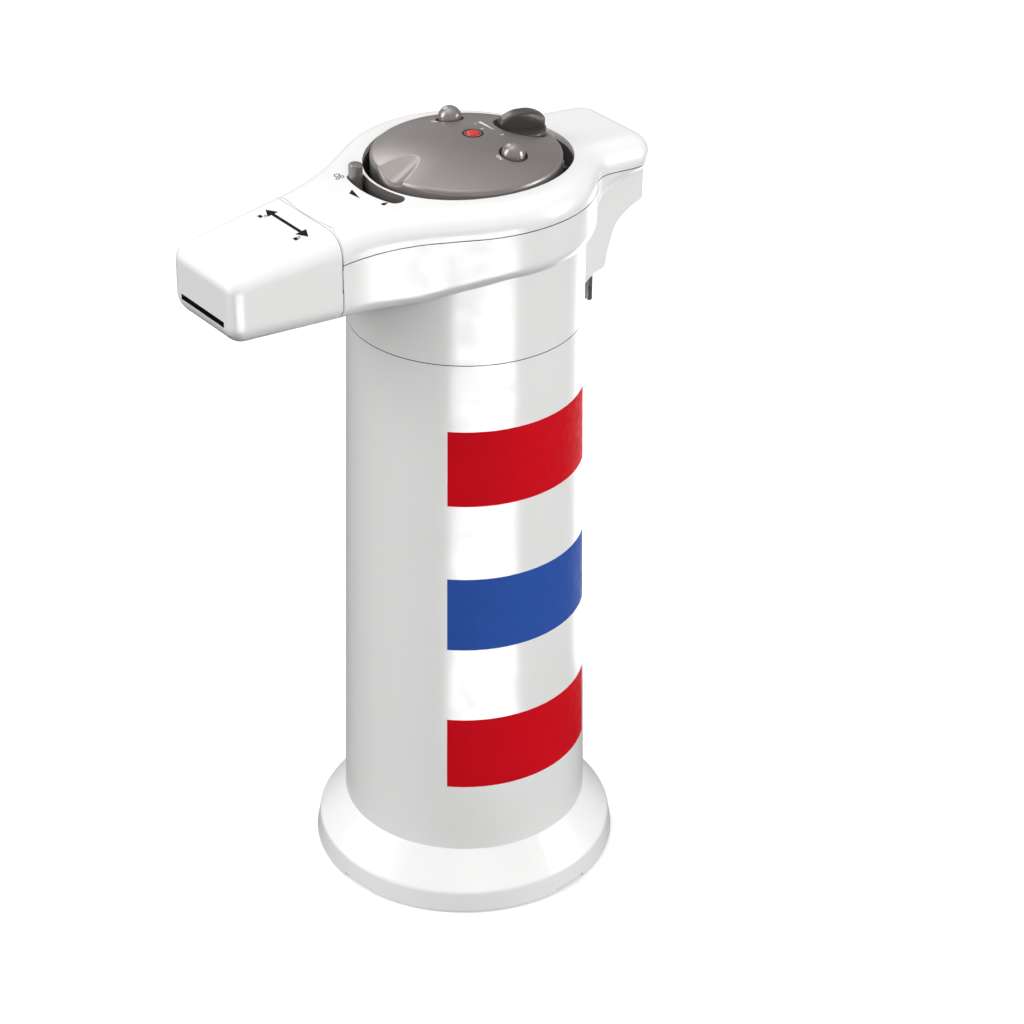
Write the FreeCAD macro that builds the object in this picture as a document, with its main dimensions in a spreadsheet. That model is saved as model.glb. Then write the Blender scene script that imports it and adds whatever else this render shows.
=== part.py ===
import FreeCAD, Part
import math
import os
import Sketcher
from FreeCAD import Placement, Rotation, Vector

# A hot lather machine for barbers: an aerosol can of lather or shaving gel stands in a tapered
# tube, and the head on top of it presses the can's valve, heats what comes out and gives it
# through the slit of a twist-off spout.
# Frame: millimetres, +Z up, the origin on the table under the tube's axis, the spout towards -Y,
# the power inlet towards +Y. Angles about Z are counted from +X, so the spout lies at 270.

DOC = FreeCAD.newDocument("LatherMachine")
SHEET = DOC.addObject("Spreadsheet::Sheet", "Sizes")
NODES = []


# ---------------------------------------------------------------- sizes that carry their source

class Size:
    """A length or an angle: its number, and the sheet expression that gives it."""

    def __init__(self, value, text):
        self.value = float(value)
        self.text = text

    def mix(self, other, sign, value):
        return Size(value, "(%s %s %s)" % (self.text, sign, as_size(other).text))

    def __add__(self, other):
        return self.mix(other, "+", self.value + as_size(other).value)

    def __sub__(self, other):
        return self.mix(other, "-", self.value - as_size(other).value)

    def __mul__(self, other):
        return self.mix(other, "*", self.value * as_size(other).value)

    def __truediv__(self, other):
        return self.mix(other, "/", self.value / as_size(other).value)

    def __radd__(self, other):
        return as_size(other) + self

    def __rsub__(self, other):
        return as_size(other) - self

    def __rmul__(self, other):
        return as_size(other) * self

    def __neg__(self):
        return as_size(0) - self


def as_size(number):
    if isinstance(number, Size):
        return number
    return Size(number, repr(float(number)))


def sine(degrees):
    value = math.sin(math.radians(as_size(degrees).value))
    return Size(value, "sin(%s * 1deg)" % as_size(degrees).text)


def cosine(degrees):
    value = math.cos(math.radians(as_size(degrees).value))
    return Size(value, "cos(%s * 1deg)" % as_size(degrees).text)


class Sizes:
    """The driving dimensions, one attribute for each row of the sheet."""

    def __init__(self):
        self.row = 0

    def note(self, name, value, meaning):
        self.row += 1
        SHEET.set("A%d" % self.row, meaning)
        SHEET.set("B%d" % self.row, str(value))
        SHEET.setAlias("B%d" % self.row, name)
        setattr(self, name, Size(value, "Sizes." + name))

    def note_over_seam(self, name, rise, meaning):
        """A height of the head: the row holds how far it lies over the seam on the tube."""
        self.note(name + "_rise", rise, meaning + ", counted from the tube's seam")
        setattr(self, name, self.seam_height + getattr(self, name + "_rise"))


S = Sizes()
for size_name, size_value, size_meaning in (
        # clearances
        ("fit_gap", 0.2, "clearance between pieces that are fixed to each other"),
        ("run_gap", 0.05, "radial clearance of a shaft in its hole"),
        ("move_gap", 0.35, "clearance between pieces that move past each other"),
        ("seam_gap", 0.3, "visible seam between two shells"),
        # foot and tube
        ("seam_height", 202.9, "height of the joint between tube and head"),
        ("base_height", 19.4, "height at which the tube leaves the foot"),
        ("tube_top_radius", 38.0, "outer radius of the tube under the head"),
        ("tube_bottom_radius", 41.44, "outer radius of the tube above the foot"),
        ("tube_wall", 2.2, "wall of the tube"),
        ("tail_radius", 40.8, "outer radius of the tube's end inside the foot"),
        ("foot_radius", 51.6, "radius of the foot at the table"),
        ("foot_shoulder", 50.5, "radius of the foot at its shoulder"),
        ("foot_side", 7.7, "height of the foot's shoulder"),
        ("foot_rounding", 2.4, "rounding of the foot's shoulder"),
        ("foot_wall", 2.7, "wall of the foot"),
        ("foot_rim", 0.8, "gap between the foot's rim and the table"),
        ("foot_collar", 2.3, "wall of the foot's inner collar"),
        ("ledge_radius", 33.0, "inner radius of the ledge in the foot"),
        ("ledge_thickness", 2.4, "thickness of the ledge in the foot"),
        ("rib_thickness", 1.8, "thickness of the foot's ribs"),
        ("notch_width", 13.0, "width of the finger notches in the foot's rim"),
        ("notch_height", 0.9, "height of the finger notches in the foot's rim"),
        ("notch_turn", 8.3, "angle of the first notch"),
        ("mat_thickness", 1.6, "thickness of the non-slip mat"),
        ("mat_radius", 45.5, "radius of the non-slip mat"),
        ("cover_thickness", 1.9, "thickness of the bottom cover"),
        ("cover_radius", 47.4, "radius of the bottom cover"),
        ("foot_screw_circle", 36.9, "radius of the circle of the foot's screws"),
        ("large_head", 2.7, "head radius of the large screws"),
        ("large_shank", 1.45, "shank radius of the large screws"),
        ("floor_thickness", 2.5, "thickness of the floor under the can"),
        ("floor_ring_height", 5.2, "height of the ring that centres the can"),
        ("floor_ring_radius", 37.9, "outer radius of the ring that centres the can"),
        ("rest_radius", 31.0, "radius of the can's rest"),
        ("rest_thickness", 3.0, "thickness of the can's rest"),
        ("collar_depth", 13.0, "length of the bayonet collar in the tube's mouth"),
        ("collar_wall", 0.9, "wall of the bayonet collar"),
        ("lug_depth", 1.0, "how far a bayonet lug stands in"),
        ("lug_height", 2.2, "height of a bayonet lug"),
        ("lug_angle", 14.0, "angle that a bayonet lug covers"),
        ("lug_level", 6.5, "depth of the lugs under the seam"),
        ("spigot_length", 8.8, "length of the head's spigot in the tube"),
        ("spigot_wall", 1.3, "wall of the head's spigot"),
        ("bayonet_turn", 22.0, "turn that locks the bayonet"),
        # outer form of the head
        ("ring_radius", 41.3, "radius of the head round the tube's axis"),
        ("mouth_reach", 60.0, "distance from the axis to the spout's seam"),
        ("mouth_half", 19.7, "half width of the head at the spout's seam"),
        ("mouth_slope", 0.079, "how fast neck and spout narrow to the front"),
        ("tail_reach", 63.0, "distance from the axis to the back of the head"),
        ("tail_half", 18.5, "half width of the head's tail at its back"),
        ("tail_slope", -0.041, "how fast the tail narrows to the back"),
        ("shoulder_turn", 58.6, "angle from the front at which the ring's side turns to the mouth"),
        ("hip_turn", 141.0, "angle from the front at which the ring's side turns to the tail"),
        ("mouth_blend", 60.0, "rounding between ring and mouth"),
        ("tail_blend", 13.0, "rounding between ring and tail"),
        ("tail_corner", 8.5, "rounding of the tail's corners in plan"),
        ("crown_radius", 562.0, "radius of the head's top along its length"),
        ("parting_radius", 448.0, "radius of that seam along the head's length"),
        ("belly_front_end", 34.0, "distance at which the front underside ends"),
        ("belly_middle_start", 11.0, "distance before the axis at which it reaches that height"),
        ("belly_middle_end", 29.0, "distance behind the axis at which it rises to the tail"),
        ("belly_back_end", 47.5, "distance behind the axis of the tail's root"),
        ("belly_sweep", 30.0, "rounding of the underside along its length"),
        ("edge_rounding", 7.0, "rounding of the head's upper edge"),
        ("belly_rounding", 6.0, "rounding of the head's lower edge"),
        ("head_wall", 2.2, "wall of the head's shells"),
        ("post_radius", 3.4, "radius of the screw posts in the head"),
        ("front_post_side", 14.0, "distance of the front posts from the middle"),
        ("front_post_reach", 48.0, "distance of the front posts from the axis"),
        ("tail_post_side", 8.6, "distance of the tail's posts from the middle"),
        ("tail_post_reach", 54.5, "distance of the tail's posts from the axis"),
        ("post_screw_length", 11.0, "length of the shells' screws"),
        # well and slot in the upper shell
        ("well_half_width", 31.1, "half width of the opening round the press plate"),
        ("well_half_length", 33.9, "half length of the opening round the press plate"),
        ("well_centre", 1.25, "how far the opening's centre lies behind the axis"),
        ("well_wall", 0.85, "wall of the well"),
        ("well_floor_thickness", 1.6, "thickness of the well's floor"),
        ("ear_circle", 35.4, "radius of the circle of the well's screws"),
        ("ear_thickness", 2.0, "thickness of the well's ears"),
        ("slot_radius", 36.1, "radius of the lever's slot about the axis"),
        ("slot_half", 2.7, "half width of the lever's slot"),
        ("lever_rest", 255.0, "angle of the lever in its lather position"),
        ("lever_travel", 33.0, "angle from lather to gel"),
        # valve mechanism
        ("bulkhead_thickness", 2.4, "thickness of the bulkhead"),
        ("adapter_radius", 12.2, "outer radius of the valve adapter"),
        ("guide_wall", 2.3, "wall of the adapter's guide"),
        ("barrel_wall", 2.4, "wall of the cam barrel"),
        ("barrel_foot", 2.2, "how far the cam barrel's foot stands out"),
        ("cam_pin_radius", 1.5, "radius of the two cam pins"),
        ("cam_drop", 1.5, "how far the cam lowers the adapter"),
        ("arm_thickness", 2.6, "thickness of the cam barrel's arm"),
        ("arm_angle", 12.0, "angle that the arm covers"),
        ("lever_foot", 2.0, "thickness of the lever's foot on the arm"),
        ("lever_foot_radius", 31.0, "inner radius of the lever's foot"),
        ("lever_screw_radius", 33.2, "radius at which the lever's screw sits"),
        ("web_inner", 35.3, "inner radius of the lever's web"),
        ("shield_half_angle", 38.5, "half the angle that the slot's shield covers"),
        ("shield_inner", 33.9, "inner radius of the slot's shield"),
        ("shield_outer", 38.2, "outer radius of the slot's shield"),
        ("shield_thickness", 1.6, "thickness of the slot's shield"),
        ("lever_pin_radius", 2.2, "radius of the lever's pin"),
        ("plunger_radius", 6.0, "radius of the plunger"),
        ("plunger_bore", 2.0, "radius of the passage in the plunger"),
        ("collar_radius", 13.9, "radius of the plunger's collar"),
        ("collar_thickness", 1.5, "thickness of the plunger's collar"),
        ("seal_section", 0.55, "radius of the section of the plunger's seals"),
        ("spring_radius", 13.25, "middle radius of the return spring"),
        ("spring_wire", 0.5, "radius of the return spring's wire"),
        ("valve_seal_radius", 10.8, "outer radius of the seal on the can"),
        ("valve_seal_height", 3.0, "height of the seal on the can"),
        # heater
        ("barrel_gap", 2.3, "space between the cam barrel and the heater block"),
        ("neck_gap", 3.2, "space between the heater block and the neck"),
        ("block_height", 12.7, "height of the heater block"),
        ("band_thickness", 1.4, "thickness of the heater band"),
        ("band_height", 9.0, "height of the heater band"),
        ("heater_screw_circle", 26.0, "radius of the circle of the heater's screws"),
        ("small_head", 2.2, "head radius of the small screws"),
        ("small_shank", 1.15, "shank radius of the small screws"),
        ("head_height", 1.3, "height of the screws' heads"),
        ("outlet_reach", 26.0, "distance from the axis to the block's outlet"),
        ("outlet_radius", 2.5, "outer radius of the outlet tube"),
        ("outlet_bore", 1.8, "bore radius of the outlet tube"),
        ("outlet_rise", 44.0, "distance from the axis at which the outlet tube rises"),
        ("outlet_end", 65.0, "distance from the axis to the outlet tube's end"),
        ("outlet_bend", 5.0, "radius of the bends in the tubes"),
        ("transfer_radius", 2.0, "outer radius of the transfer tube"),
        ("transfer_bore", 1.4, "bore radius of the transfer tube"),
        # spout
        ("spout_reach", 97.2, "distance from the axis to the spout's tip"),
        ("spout_tip_half", 16.9, "half width of the spout's tip"),
        ("tip_edge_rounding", 4.6, "rounding of the spout's upper edges at its tip"),
        ("tip_belly_rounding", 7.2, "rounding of the spout's lower edges at its tip"),
        ("brow_rounding", 5.4, "rounding between the spout's front and its top"),
        ("cheek_rounding", 4.4, "rounding between the spout's front and its sides"),
        ("chin_rounding", 6.8, "rounding between the spout's front and its underside"),
        ("spout_front_wall", 2.6, "wall of the spout's front, round the slit"),
        ("hollow_corner", 2.4, "rounding at the front of the spout's hollow"),
        ("spout_wall", 2.2, "wall of the spout"),
        ("socket_radius", 9.6, "radius of the spout's spigot"),
        ("socket_depth", 8.0, "depth of the spout's spigot in the head"),
        ("socket_wall", 1.6, "wall of the socket and of the spigot"),
        ("socket_flange", 16.0, "half width of the socket's flange"),
        ("spout_turn", 20.0, "turn that frees the spout"),
        ("slit_half", 11.7, "half width of the spout's slit"),
        ("slit_height", 1.9, "height of the spout's slit"),
        ("nozzle_wall", 1.2, "wall of the nozzle in the spout"),
        # press plate and its controls
        ("plate_radius", 30.0, "radius of the press plate"),
        ("plate_centre", 0.4, "how far the press plate's centre lies behind the axis"),
        ("plate_break", 14.75, "radius at which the crown's tangents meet"),
        ("plate_bulge", 80.0, "radius of the press plate's crown"),
        ("plate_wall", 1.8, "wall of the press plate"),
        ("plate_rounding", 1.7, "rounding of the press plate's edge"),
        ("thumb_radius", 11.5, "radius of the thumb scallop"),
        ("thumb_start", 18.7, "distance from the axis at which the scallop starts"),
        ("thumb_slope", 28.5, "slope of the scallop's bottom line"),
        ("thumb_rounding", 2.0, "rounding of the scallop's edges"),
        ("button_spread", 16.4, "distance of each button from the middle"),
        ("button_back", 6.1, "how far the buttons lie behind the axis"),
        ("ball_radius", 3.75, "radius of a button's ball"),
        ("ball_hole", 4.5, "radius of the holes round the balls"),
        ("flange_thickness", 1.2, "thickness of a button's flange"),
        ("flange_radius", 5.4, "radius of a button's flange"),
        ("lamp_back", 2.85, "how far the lamp lies behind the axis"),
        ("lamp_radius", 2.3, "radius of the lamp's lens"),
        ("knob_back", 21.8, "how far the knob lies behind the axis"),
        ("recess_radius", 8.9, "radius of the knob's recess"),
        ("knob_radius", 7.9, "radius of the knob's disc"),
        ("knob_disc", 1.7, "thickness of the knob's disc"),
        ("grip_half_length", 7.4, "half length of the knob's grip"),
        ("grip_half", 2.1, "half thickness of the knob's grip"),
        ("grip_turn", 72.0, "angle of the knob's grip"),
        ("spindle_radius", 1.3, "radius of the knob's spindle"),
        ("board_thickness", 1.6, "thickness of the control board"),
        ("board_gap", 1.0, "space between the control board and the plate's wall"),
        ("board_screw_circle", 22.0, "radius of the circle of the board's screws"),
        ("frame_thickness", 1.7, "thickness of the plate's frame"),
        ("frame_gap", 2.0, "space between the plate's frame and the plate's wall"),
        ("pusher_radius", 4.2, "radius of the pusher over the plunger"),
        ("hinge_back", 27.0, "distance from the axis to the plate's hinge"),
        ("hinge_pin_radius", 1.5, "radius of the hinge pin"),
        ("hinge_ear", 2.9, "radius of the hinge's ears"),
        ("hinge_ear_side", 8.0, "distance of the frame's ears from the middle"),
        ("hinge_post_side", 12.2, "distance of the well's posts from the middle"),
        ("hinge_thickness", 3.7, "thickness of ears and posts"),
        # power inlet
        ("inlet_half", 14.5, "half width of the inlet housing"),
        ("inlet_back", 60.8, "distance from the axis to the back of the inlet housing"),
        ("inlet_wall", 2.0, "wall of the inlet housing"),
        ("inlet_shelf", 2.0, "thickness of the shelf that the tail's screws hold"),
        ("blade_spread", 6.35, "distance of each blade from the middle"),
        ("blade_back", 43.6, "distance from the axis to the blades"),
        ("blade_width", 6.3, "width of a blade"),
        ("blade_thickness", 1.6, "thickness of a blade"),
):
    S.note(size_name, size_value, size_meaning)

# Heights in the head are counted from the seam on the tube, so the head rides on the tube.
for size_name, size_rise, size_meaning in (
        ("crown_height", 53.5, "height of the head's top"),
        ("parting_height", 45.0, "height of the seam between the two shells"),
        ("belly_front", 21.6, "height of the head's underside at the front"),
        ("belly_middle", 28.1, "height of the underside round the neck"),
        ("belly_back", 36.7, "height of the underside at the tail's root"),
        ("belly_tail", 39.0, "height of the underside at the back"),
        ("post_seat", 35.5, "height of the seat of the shells' screws"),
        ("well_floor", 40.1, "underside of the well's floor"),
        ("well_top", 49.7, "top of the well's wall"),
        ("ear_level", 46.1, "underside of the well's ears"),
        ("bulkhead_level", 1.5, "underside of the bulkhead in the neck"),
        ("adapter_bottom", -9.9, "lower end of the valve adapter"),
        ("adapter_top", 26.1, "upper end of the valve adapter"),
        ("guide_top", 24.7, "top of the adapter's guide"),
        ("barrel_top", 33.1, "top of the cam barrel"),
        ("cam_pin_height", 15.1, "height of the cam pins"),
        ("shield_level", 46.2, "underside of the slot's shield"),
        ("lever_pin_top", 56.9, "top of the lever's pin"),
        ("plunger_bottom", -11.9, "lower end of the plunger"),
        ("plunger_top", 43.8, "top of the plunger"),
        ("plunger_collar", 32.3, "underside of the plunger's collar"),
        ("block_bottom", 6.4, "underside of the heater block"),
        ("outlet_level", 27.0, "height of the outlet tube's lower run"),
        ("transfer_level", 37.3, "height of the transfer tube's run"),
        ("mouth_top", 50.3, "top of the spout at its seam"),
        ("tip_top", 45.0, "top of the spout at its tip"),
        ("tip_bottom", 22.5, "bottom of the spout at its tip"),
        ("spout_axis", 36.1, "height of the axis that the spout turns about"),
        ("slit_level", 29.4, "height of the slit's middle"),
        ("plate_top", 60.4, "height of the press plate's crown"),
        ("plate_edge", 54.8, "height at which the crown meets the plate's side"),
        ("plate_skirt", 49.1, "lower edge of the press plate's skirt"),
        ("thumb_height", 58.1, "height of the scallop's start"),
        ("ball_height", 58.4, "height of a ball's centre"),
        ("flange_level", 54.7, "underside of a button's flange"),
        ("recess_floor", 55.6, "height of the recess's floor"),
        ("knob_top", 63.5, "top of the knob's grip"),
        ("board_level", 49.0, "underside of the control board"),
        ("frame_level", 46.4, "underside of the plate's frame"),
        ("hinge_height", 45.1, "height of the plate's hinge"),
        ("inlet_step", 7.1, "height of the housing's face round the blades"),
        ("blade_bottom", -5.9, "lower end of the blades"),
        ("blade_top", 21.1, "upper end of the blades"),
):
    S.note_over_seam(size_name, size_rise, size_meaning)
DOC.recompute()

# What fills the room between other pieces takes its size from them.
block_inner = S.adapter_radius + S.guide_wall + S.barrel_wall + S.barrel_gap
block_outer = S.tube_top_radius - S.head_wall - S.neck_gap
board_radius = S.plate_radius - S.plate_wall - S.board_gap
frame_radius = S.plate_radius - S.plate_wall - S.frame_gap


# ---------------------------------------------------------------- ways of drawing and building

def bind(thing, path, size):
    """Sets a property from a size, by the sheet expression that gives it."""
    thing.setExpression(path, as_size(size).text)


def new_body(name):
    return DOC.addObject("PartDesign::Body", name)


def keep(thing, node):
    """Marks an object as the sub-part of that name."""
    for other in DOC.getObjectsByLabel(node):
        other.Label = node + "_blank"
    thing.Label = node
    NODES.append((node, thing))
    return thing


def origin_part(body, role):
    for feature in body.Origin.OriginFeatures:
        if feature.Role == role:
            return feature


def new_sketch(body, plane, offset=0, across=0, up=0, turn=0):
    """A sketch on one of the body's own planes, moved out of it and along it, and turned about Z."""
    sketch = body.newObject("Sketcher::SketchObject", body.Name + "_outline")
    sketch.AttachmentSupport = [(origin_part(body, plane), "")]
    sketch.MapMode = "FlatFace"
    upright = Vector(0, 0, 1) if plane == "XY_Plane" else Vector(0, 1, 0)
    sketch.AttachmentOffset = Placement(Vector(0, 0, 0), Rotation(upright, as_size(turn).value))
    for axis, size in (("x", across), ("y", up), ("z", offset)):
        bind(sketch, "AttachmentOffset.Base." + axis, size)
    if as_size(turn).value != 0:
        bind(sketch, "AttachmentOffset.Rotation.Angle", turn)
    return sketch


def dimension(sketch, kind, places, size):
    size = as_size(size)
    index = sketch.addConstraint(Sketcher.Constraint(kind, *places, size.value))
    name = "size%d" % index
    sketch.renameConstraint(index, name)
    sketch.setExpression("Constraints." + name, size.text)


def hold_point(sketch, geometry, end, across, up):
    """Holds a point of the sketch at its distances from the sketch's origin."""
    for kind, axis, size in (("DistanceX", -2, across), ("DistanceY", -1, up)):
        if as_size(size).value == 0:
            sketch.addConstraint(Sketcher.Constraint("PointOnObject", geometry, end, axis))
        else:
            dimension(sketch, kind, (-1, 1, geometry, end), size)


def draw_polygon(sketch, corners):
    """A closed outline; a corner's third value is its rounding."""
    first = sketch.GeometryCount
    count = len(corners)
    ends = [Vector(as_size(corner[0]).value, as_size(corner[1]).value, 0) for corner in corners]
    for place in range(count):
        sketch.addGeometry(Part.LineSegment(ends[place], ends[(place + 1) % count]), False)
    for place in range(count):
        following = first + (place + 1) % count
        sketch.addConstraint(Sketcher.Constraint("Coincident", first + place, 2, following, 1))
    for place, corner in enumerate(corners):
        hold_point(sketch, first + place, 1, corner[0], corner[1])
    sketch.solve()
    for place, corner in enumerate(corners):
        if len(corner) == 3:
            sketch.fillet(first + place, 1, as_size(corner[2]).value, True, True)
            arc = sketch.GeometryCount - 2
            dimension(sketch, "Radius", (arc,), corner[2])


def draw_circles(sketch, centres, radius):
    for across, up in centres:
        middle = Vector(as_size(across).value, as_size(up).value, 0)
        circle = Part.Circle(middle, Vector(0, 0, 1), as_size(radius).value)
        index = sketch.addGeometry(circle, False)
        dimension(sketch, "Radius", (index,), radius)
        hold_point(sketch, index, 3, across, up)


def box_corners(half_x, low_y, high_y):
    return ((-half_x, low_y), (half_x, low_y), (half_x, high_y), (-half_x, high_y))


def revolve(body, corners, kind="Revolution", angle=360, turn=0, axis=(0, 0)):
    """Turns an outline of (radius, height) about a vertical axis through a point."""
    sketch = new_sketch(body, "XZ_Plane", -as_size(axis[1]), axis[0], 0, turn)
    draw_polygon(sketch, corners)
    feature = body.newObject("PartDesign::" + kind, body.Name + "_" + kind)
    feature.Profile = sketch
    feature.ReferenceAxis = (sketch, ["V_Axis"])
    bind(feature, "Angle", angle)
    body.Tip = feature
    return feature


def extrude(body, sketch, length, kind="Pad", both=False, reverse=False):
    feature = body.newObject("PartDesign::" + kind, body.Name + "_" + kind)
    feature.Profile = sketch
    feature.SideType = "Symmetric" if both else "One side"
    feature.Reversed = reverse
    bind(feature, "Length", length)
    body.Tip = feature
    return feature


def plate_outline(body, level, corners):
    sketch = new_sketch(body, "XY_Plane", level)
    draw_polygon(sketch, corners)
    return sketch


def round_plate(body, level, centres, radius, length, kind="Pad"):
    """Discs padded up from a level, or holes pocketed up from it."""
    sketch = new_sketch(body, "XY_Plane", level)
    draw_circles(sketch, centres, radius)
    return extrude(body, sketch, length, kind, reverse=(kind == "Pocket"))


def ring(angle_first, count, radius):
    """Places on a circle about the axis."""
    places = []
    for number in range(count):
        angle = math.radians(angle_first + 360.0 * number / count)
        places.append((radius * math.cos(angle), radius * math.sin(angle)))
    return places


def repeat_round(body, feature, count):
    pattern = body.newObject("PartDesign::PolarPattern", body.Name + "_round")
    pattern.Originals = [feature]
    pattern.Axis = (origin_part(body, "Z_Axis"), [""])
    pattern.Angle = 360
    pattern.Occurrences = count
    body.Tip = pattern
    return pattern


def fillet(body, radius, chosen):
    """Rounds the edges of the body's last feature that a test chooses."""
    DOC.recompute()
    base = body.Tip
    names = []
    for number, edge in enumerate(base.Shape.Edges):
        if chosen(edge):
            names.append("Edge%d" % (number + 1))
    feature = body.newObject("PartDesign::Fillet", body.Name + "_rounding")
    feature.Base = (base, names)
    bind(feature, "Radius", radius)
    body.Tip = feature
    DOC.recompute()
    return feature


def middle_of(edge):
    return edge.valueAt((edge.FirstParameter + edge.LastParameter) / 2.0)


def is_upright(edge):
    box = edge.BoundBox
    return box.ZLength > 5 and box.XLength < 0.5 and box.YLength < 0.5


def cut(base, tool):
    feature = DOC.addObject("Part::Cut", base.Name + "_cut")
    feature.Base = base
    feature.Tool = tool
    return feature


def cut_all(base, tools):
    for tool in tools:
        base = cut(base, tool)
    return base


def soften(form, rounding_at, chosen):
    """Rounds the edges of a form that a test chooses, each end by the size given for it."""
    DOC.recompute()
    rounded = []
    for number, edge in enumerate(form.Shape.Edges):
        if chosen(edge):
            first = rounding_at(edge.valueAt(edge.FirstParameter))
            last = rounding_at(edge.valueAt(edge.LastParameter))
            rounded.append((number + 1, first.value, last.value))
    feature = DOC.addObject("Part::Fillet", form.Name + "_softened")
    feature.Base = form
    feature.Edges = rounded
    return feature


def common(base, tool):
    feature = DOC.addObject("Part::Common", base.Name + "_common")
    feature.Base = base
    feature.Tool = tool
    return feature


def fuse(things):
    feature = DOC.addObject("Part::MultiFuse", things[0].Name + "_fused")
    feature.Shapes = things
    feature.Refine = True
    return feature


def place(thing, x, y, z):
    for axis, size in (("x", x), ("y", y), ("z", z)):
        bind(thing, "Placement.Base." + axis, size)


def cylinder(x, y, z, radius, height, direction=None):
    """A round bar from a point, upwards or along a direction."""
    thing = DOC.addObject("Part::Cylinder", "bar")
    bind(thing, "Radius", radius)
    bind(thing, "Height", height)
    if direction is not None:
        thing.Placement = Placement(Vector(0, 0, 0), Rotation(Vector(0, 0, 1), direction))
    place(thing, x, y, z)
    return thing


def block(low, size):
    """A box from its low corner."""
    thing = DOC.addObject("Part::Box", "block")
    for name, length in zip(("Length", "Width", "Height"), size):
        bind(thing, name, length)
    place(thing, *low)
    return thing


def oval(half_x, half_y, centre_y, level, height):
    """An upright oval prism."""
    outline = DOC.addObject("Part::Ellipse", "oval_outline")
    bind(outline, "MajorRadius", half_y)
    bind(outline, "MinorRadius", half_x)
    outline.Placement = Placement(Vector(0, 0, 0), Rotation(Vector(0, 0, 1), 90))
    place(outline, 0, centre_y, level)
    prism = DOC.addObject("Part::Extrusion", "oval")
    prism.Base = outline
    prism.DirMode = "Custom"
    prism.Dir = Vector(0, 0, 1)
    prism.Solid = True
    bind(prism, "LengthFwd", height)
    return prism


def screws(node, places, seat, upwards, head, shank, length):
    """A group of like screws on a seat, their shanks pointing up or down from it."""
    body = new_body(node)
    if upwards:
        round_plate(body, seat - S.head_height, places, head, S.head_height)
        round_plate(body, seat, places, shank, length)
        round_plate(body, seat - S.head_height, places, shank * 0.7, S.head_height * 0.5, "Pocket")
    else:
        round_plate(body, seat, places, head, S.head_height)
        round_plate(body, seat - length, places, shank, length)
        round_plate(body, seat + S.head_height * 0.5, places, shank * 0.7, S.head_height * 0.6, "Pocket")
    return keep(body, node)


def sector(name, inner, outer, low, high, angle, turn):
    """Part of a ring about the axis, from the angle turn on."""
    body = new_body(name)
    revolve(body, ((inner, low), (outer, low), (outer, high), (inner, high)), angle=angle, turn=turn)
    return body


def holes(places, level, radius, height):
    """Upright bars at several places, to cut with."""
    return [cylinder(x, y, level, radius, height) for x, y in places]


def draw_arch(sketch, reach, level, radius, flat):
    """A closed outline between an arch over the axis and a level line."""
    reach = as_size(reach)
    middle = Vector(0, level.value - radius.value, 0)
    half = math.asin(reach.value / radius.value)
    circle = Part.Circle(middle, Vector(0, 0, 1), radius.value)
    arc = sketch.addGeometry(Part.ArcOfCircle(circle, math.pi / 2 - half, math.pi / 2 + half), False)
    end = level.value - radius.value + radius.value * math.cos(half)
    flat_y = as_size(flat).value
    corners = ((-reach.value, end), (-reach.value, flat_y), (reach.value, flat_y), (reach.value, end))
    lines = []
    for place in range(3):
        line = Part.LineSegment(Vector(*corners[place], 0), Vector(*corners[place + 1], 0))
        lines.append(sketch.addGeometry(line, False))
    for first, second in ((arc, lines[0]), (lines[0], lines[1]), (lines[1], lines[2]), (lines[2], arc)):
        sketch.addConstraint(Sketcher.Constraint("Coincident", first, 2, second, 1))
    sketch.addConstraint(Sketcher.Constraint("Vertical", lines[0]))
    sketch.addConstraint(Sketcher.Constraint("Vertical", lines[2]))
    sketch.addConstraint(Sketcher.Constraint("Horizontal", lines[1]))
    dimension(sketch, "Radius", (arc,), radius)
    sketch.addConstraint(Sketcher.Constraint("PointOnObject", arc, 3, -2))
    dimension(sketch, "DistanceY", (-1, 1, arc, 3), level - radius)
    dimension(sketch, "DistanceX", (-1, 1, arc, 1), reach)
    dimension(sketch, "DistanceX", (-1, 1, arc, 2), -reach)
    dimension(sketch, "DistanceY", (-1, 1, lines[1], 1), flat)


def draw_path(sketch, corners):
    """An open line through corners, each with the same bend."""
    ends = [Vector(as_size(corner[0]).value, as_size(corner[1]).value, 0) for corner in corners]
    count = len(corners)
    for place in range(count - 1):
        sketch.addGeometry(Part.LineSegment(ends[place], ends[place + 1]), False)
    for place in range(count - 2):
        sketch.addConstraint(Sketcher.Constraint("Coincident", place, 2, place + 1, 1))
    for place in range(count - 1):
        hold_point(sketch, place, 1, corners[place][0], corners[place][1])
    hold_point(sketch, count - 2, 2, corners[-1][0], corners[-1][1])
    sketch.solve()
    for place in range(1, count - 1):
        sketch.fillet(place, 1, S.outlet_bend.value, True, True)
        dimension(sketch, "Radius", (sketch.GeometryCount - 2,), S.outlet_bend)


def bent_tube(node, plane, corners, start, radius, bore):
    """A tube along a path that starts upwards from a place."""
    body = new_body(node)
    profile = new_sketch(body, "XY_Plane", corners[0][1])
    draw_circles(profile, [start], radius)
    draw_circles(profile, [start], bore)
    path = new_sketch(body, plane)
    draw_path(path, corners)
    pipe = body.newObject("PartDesign::AdditivePipe", body.Name + "_pipe")
    pipe.Profile = profile
    pipe.Spine = path
    body.Tip = pipe
    return keep(body, node)


def aim_forward(thing):
    """Lays a piece made about Z along the spout's axis, its top towards the front."""
    thing.Placement = Placement(Vector(0, 0, 0), Rotation(Vector(1, 0, 0), 90))
    place(thing, 0, 0, S.spout_axis)
    return thing


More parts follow.
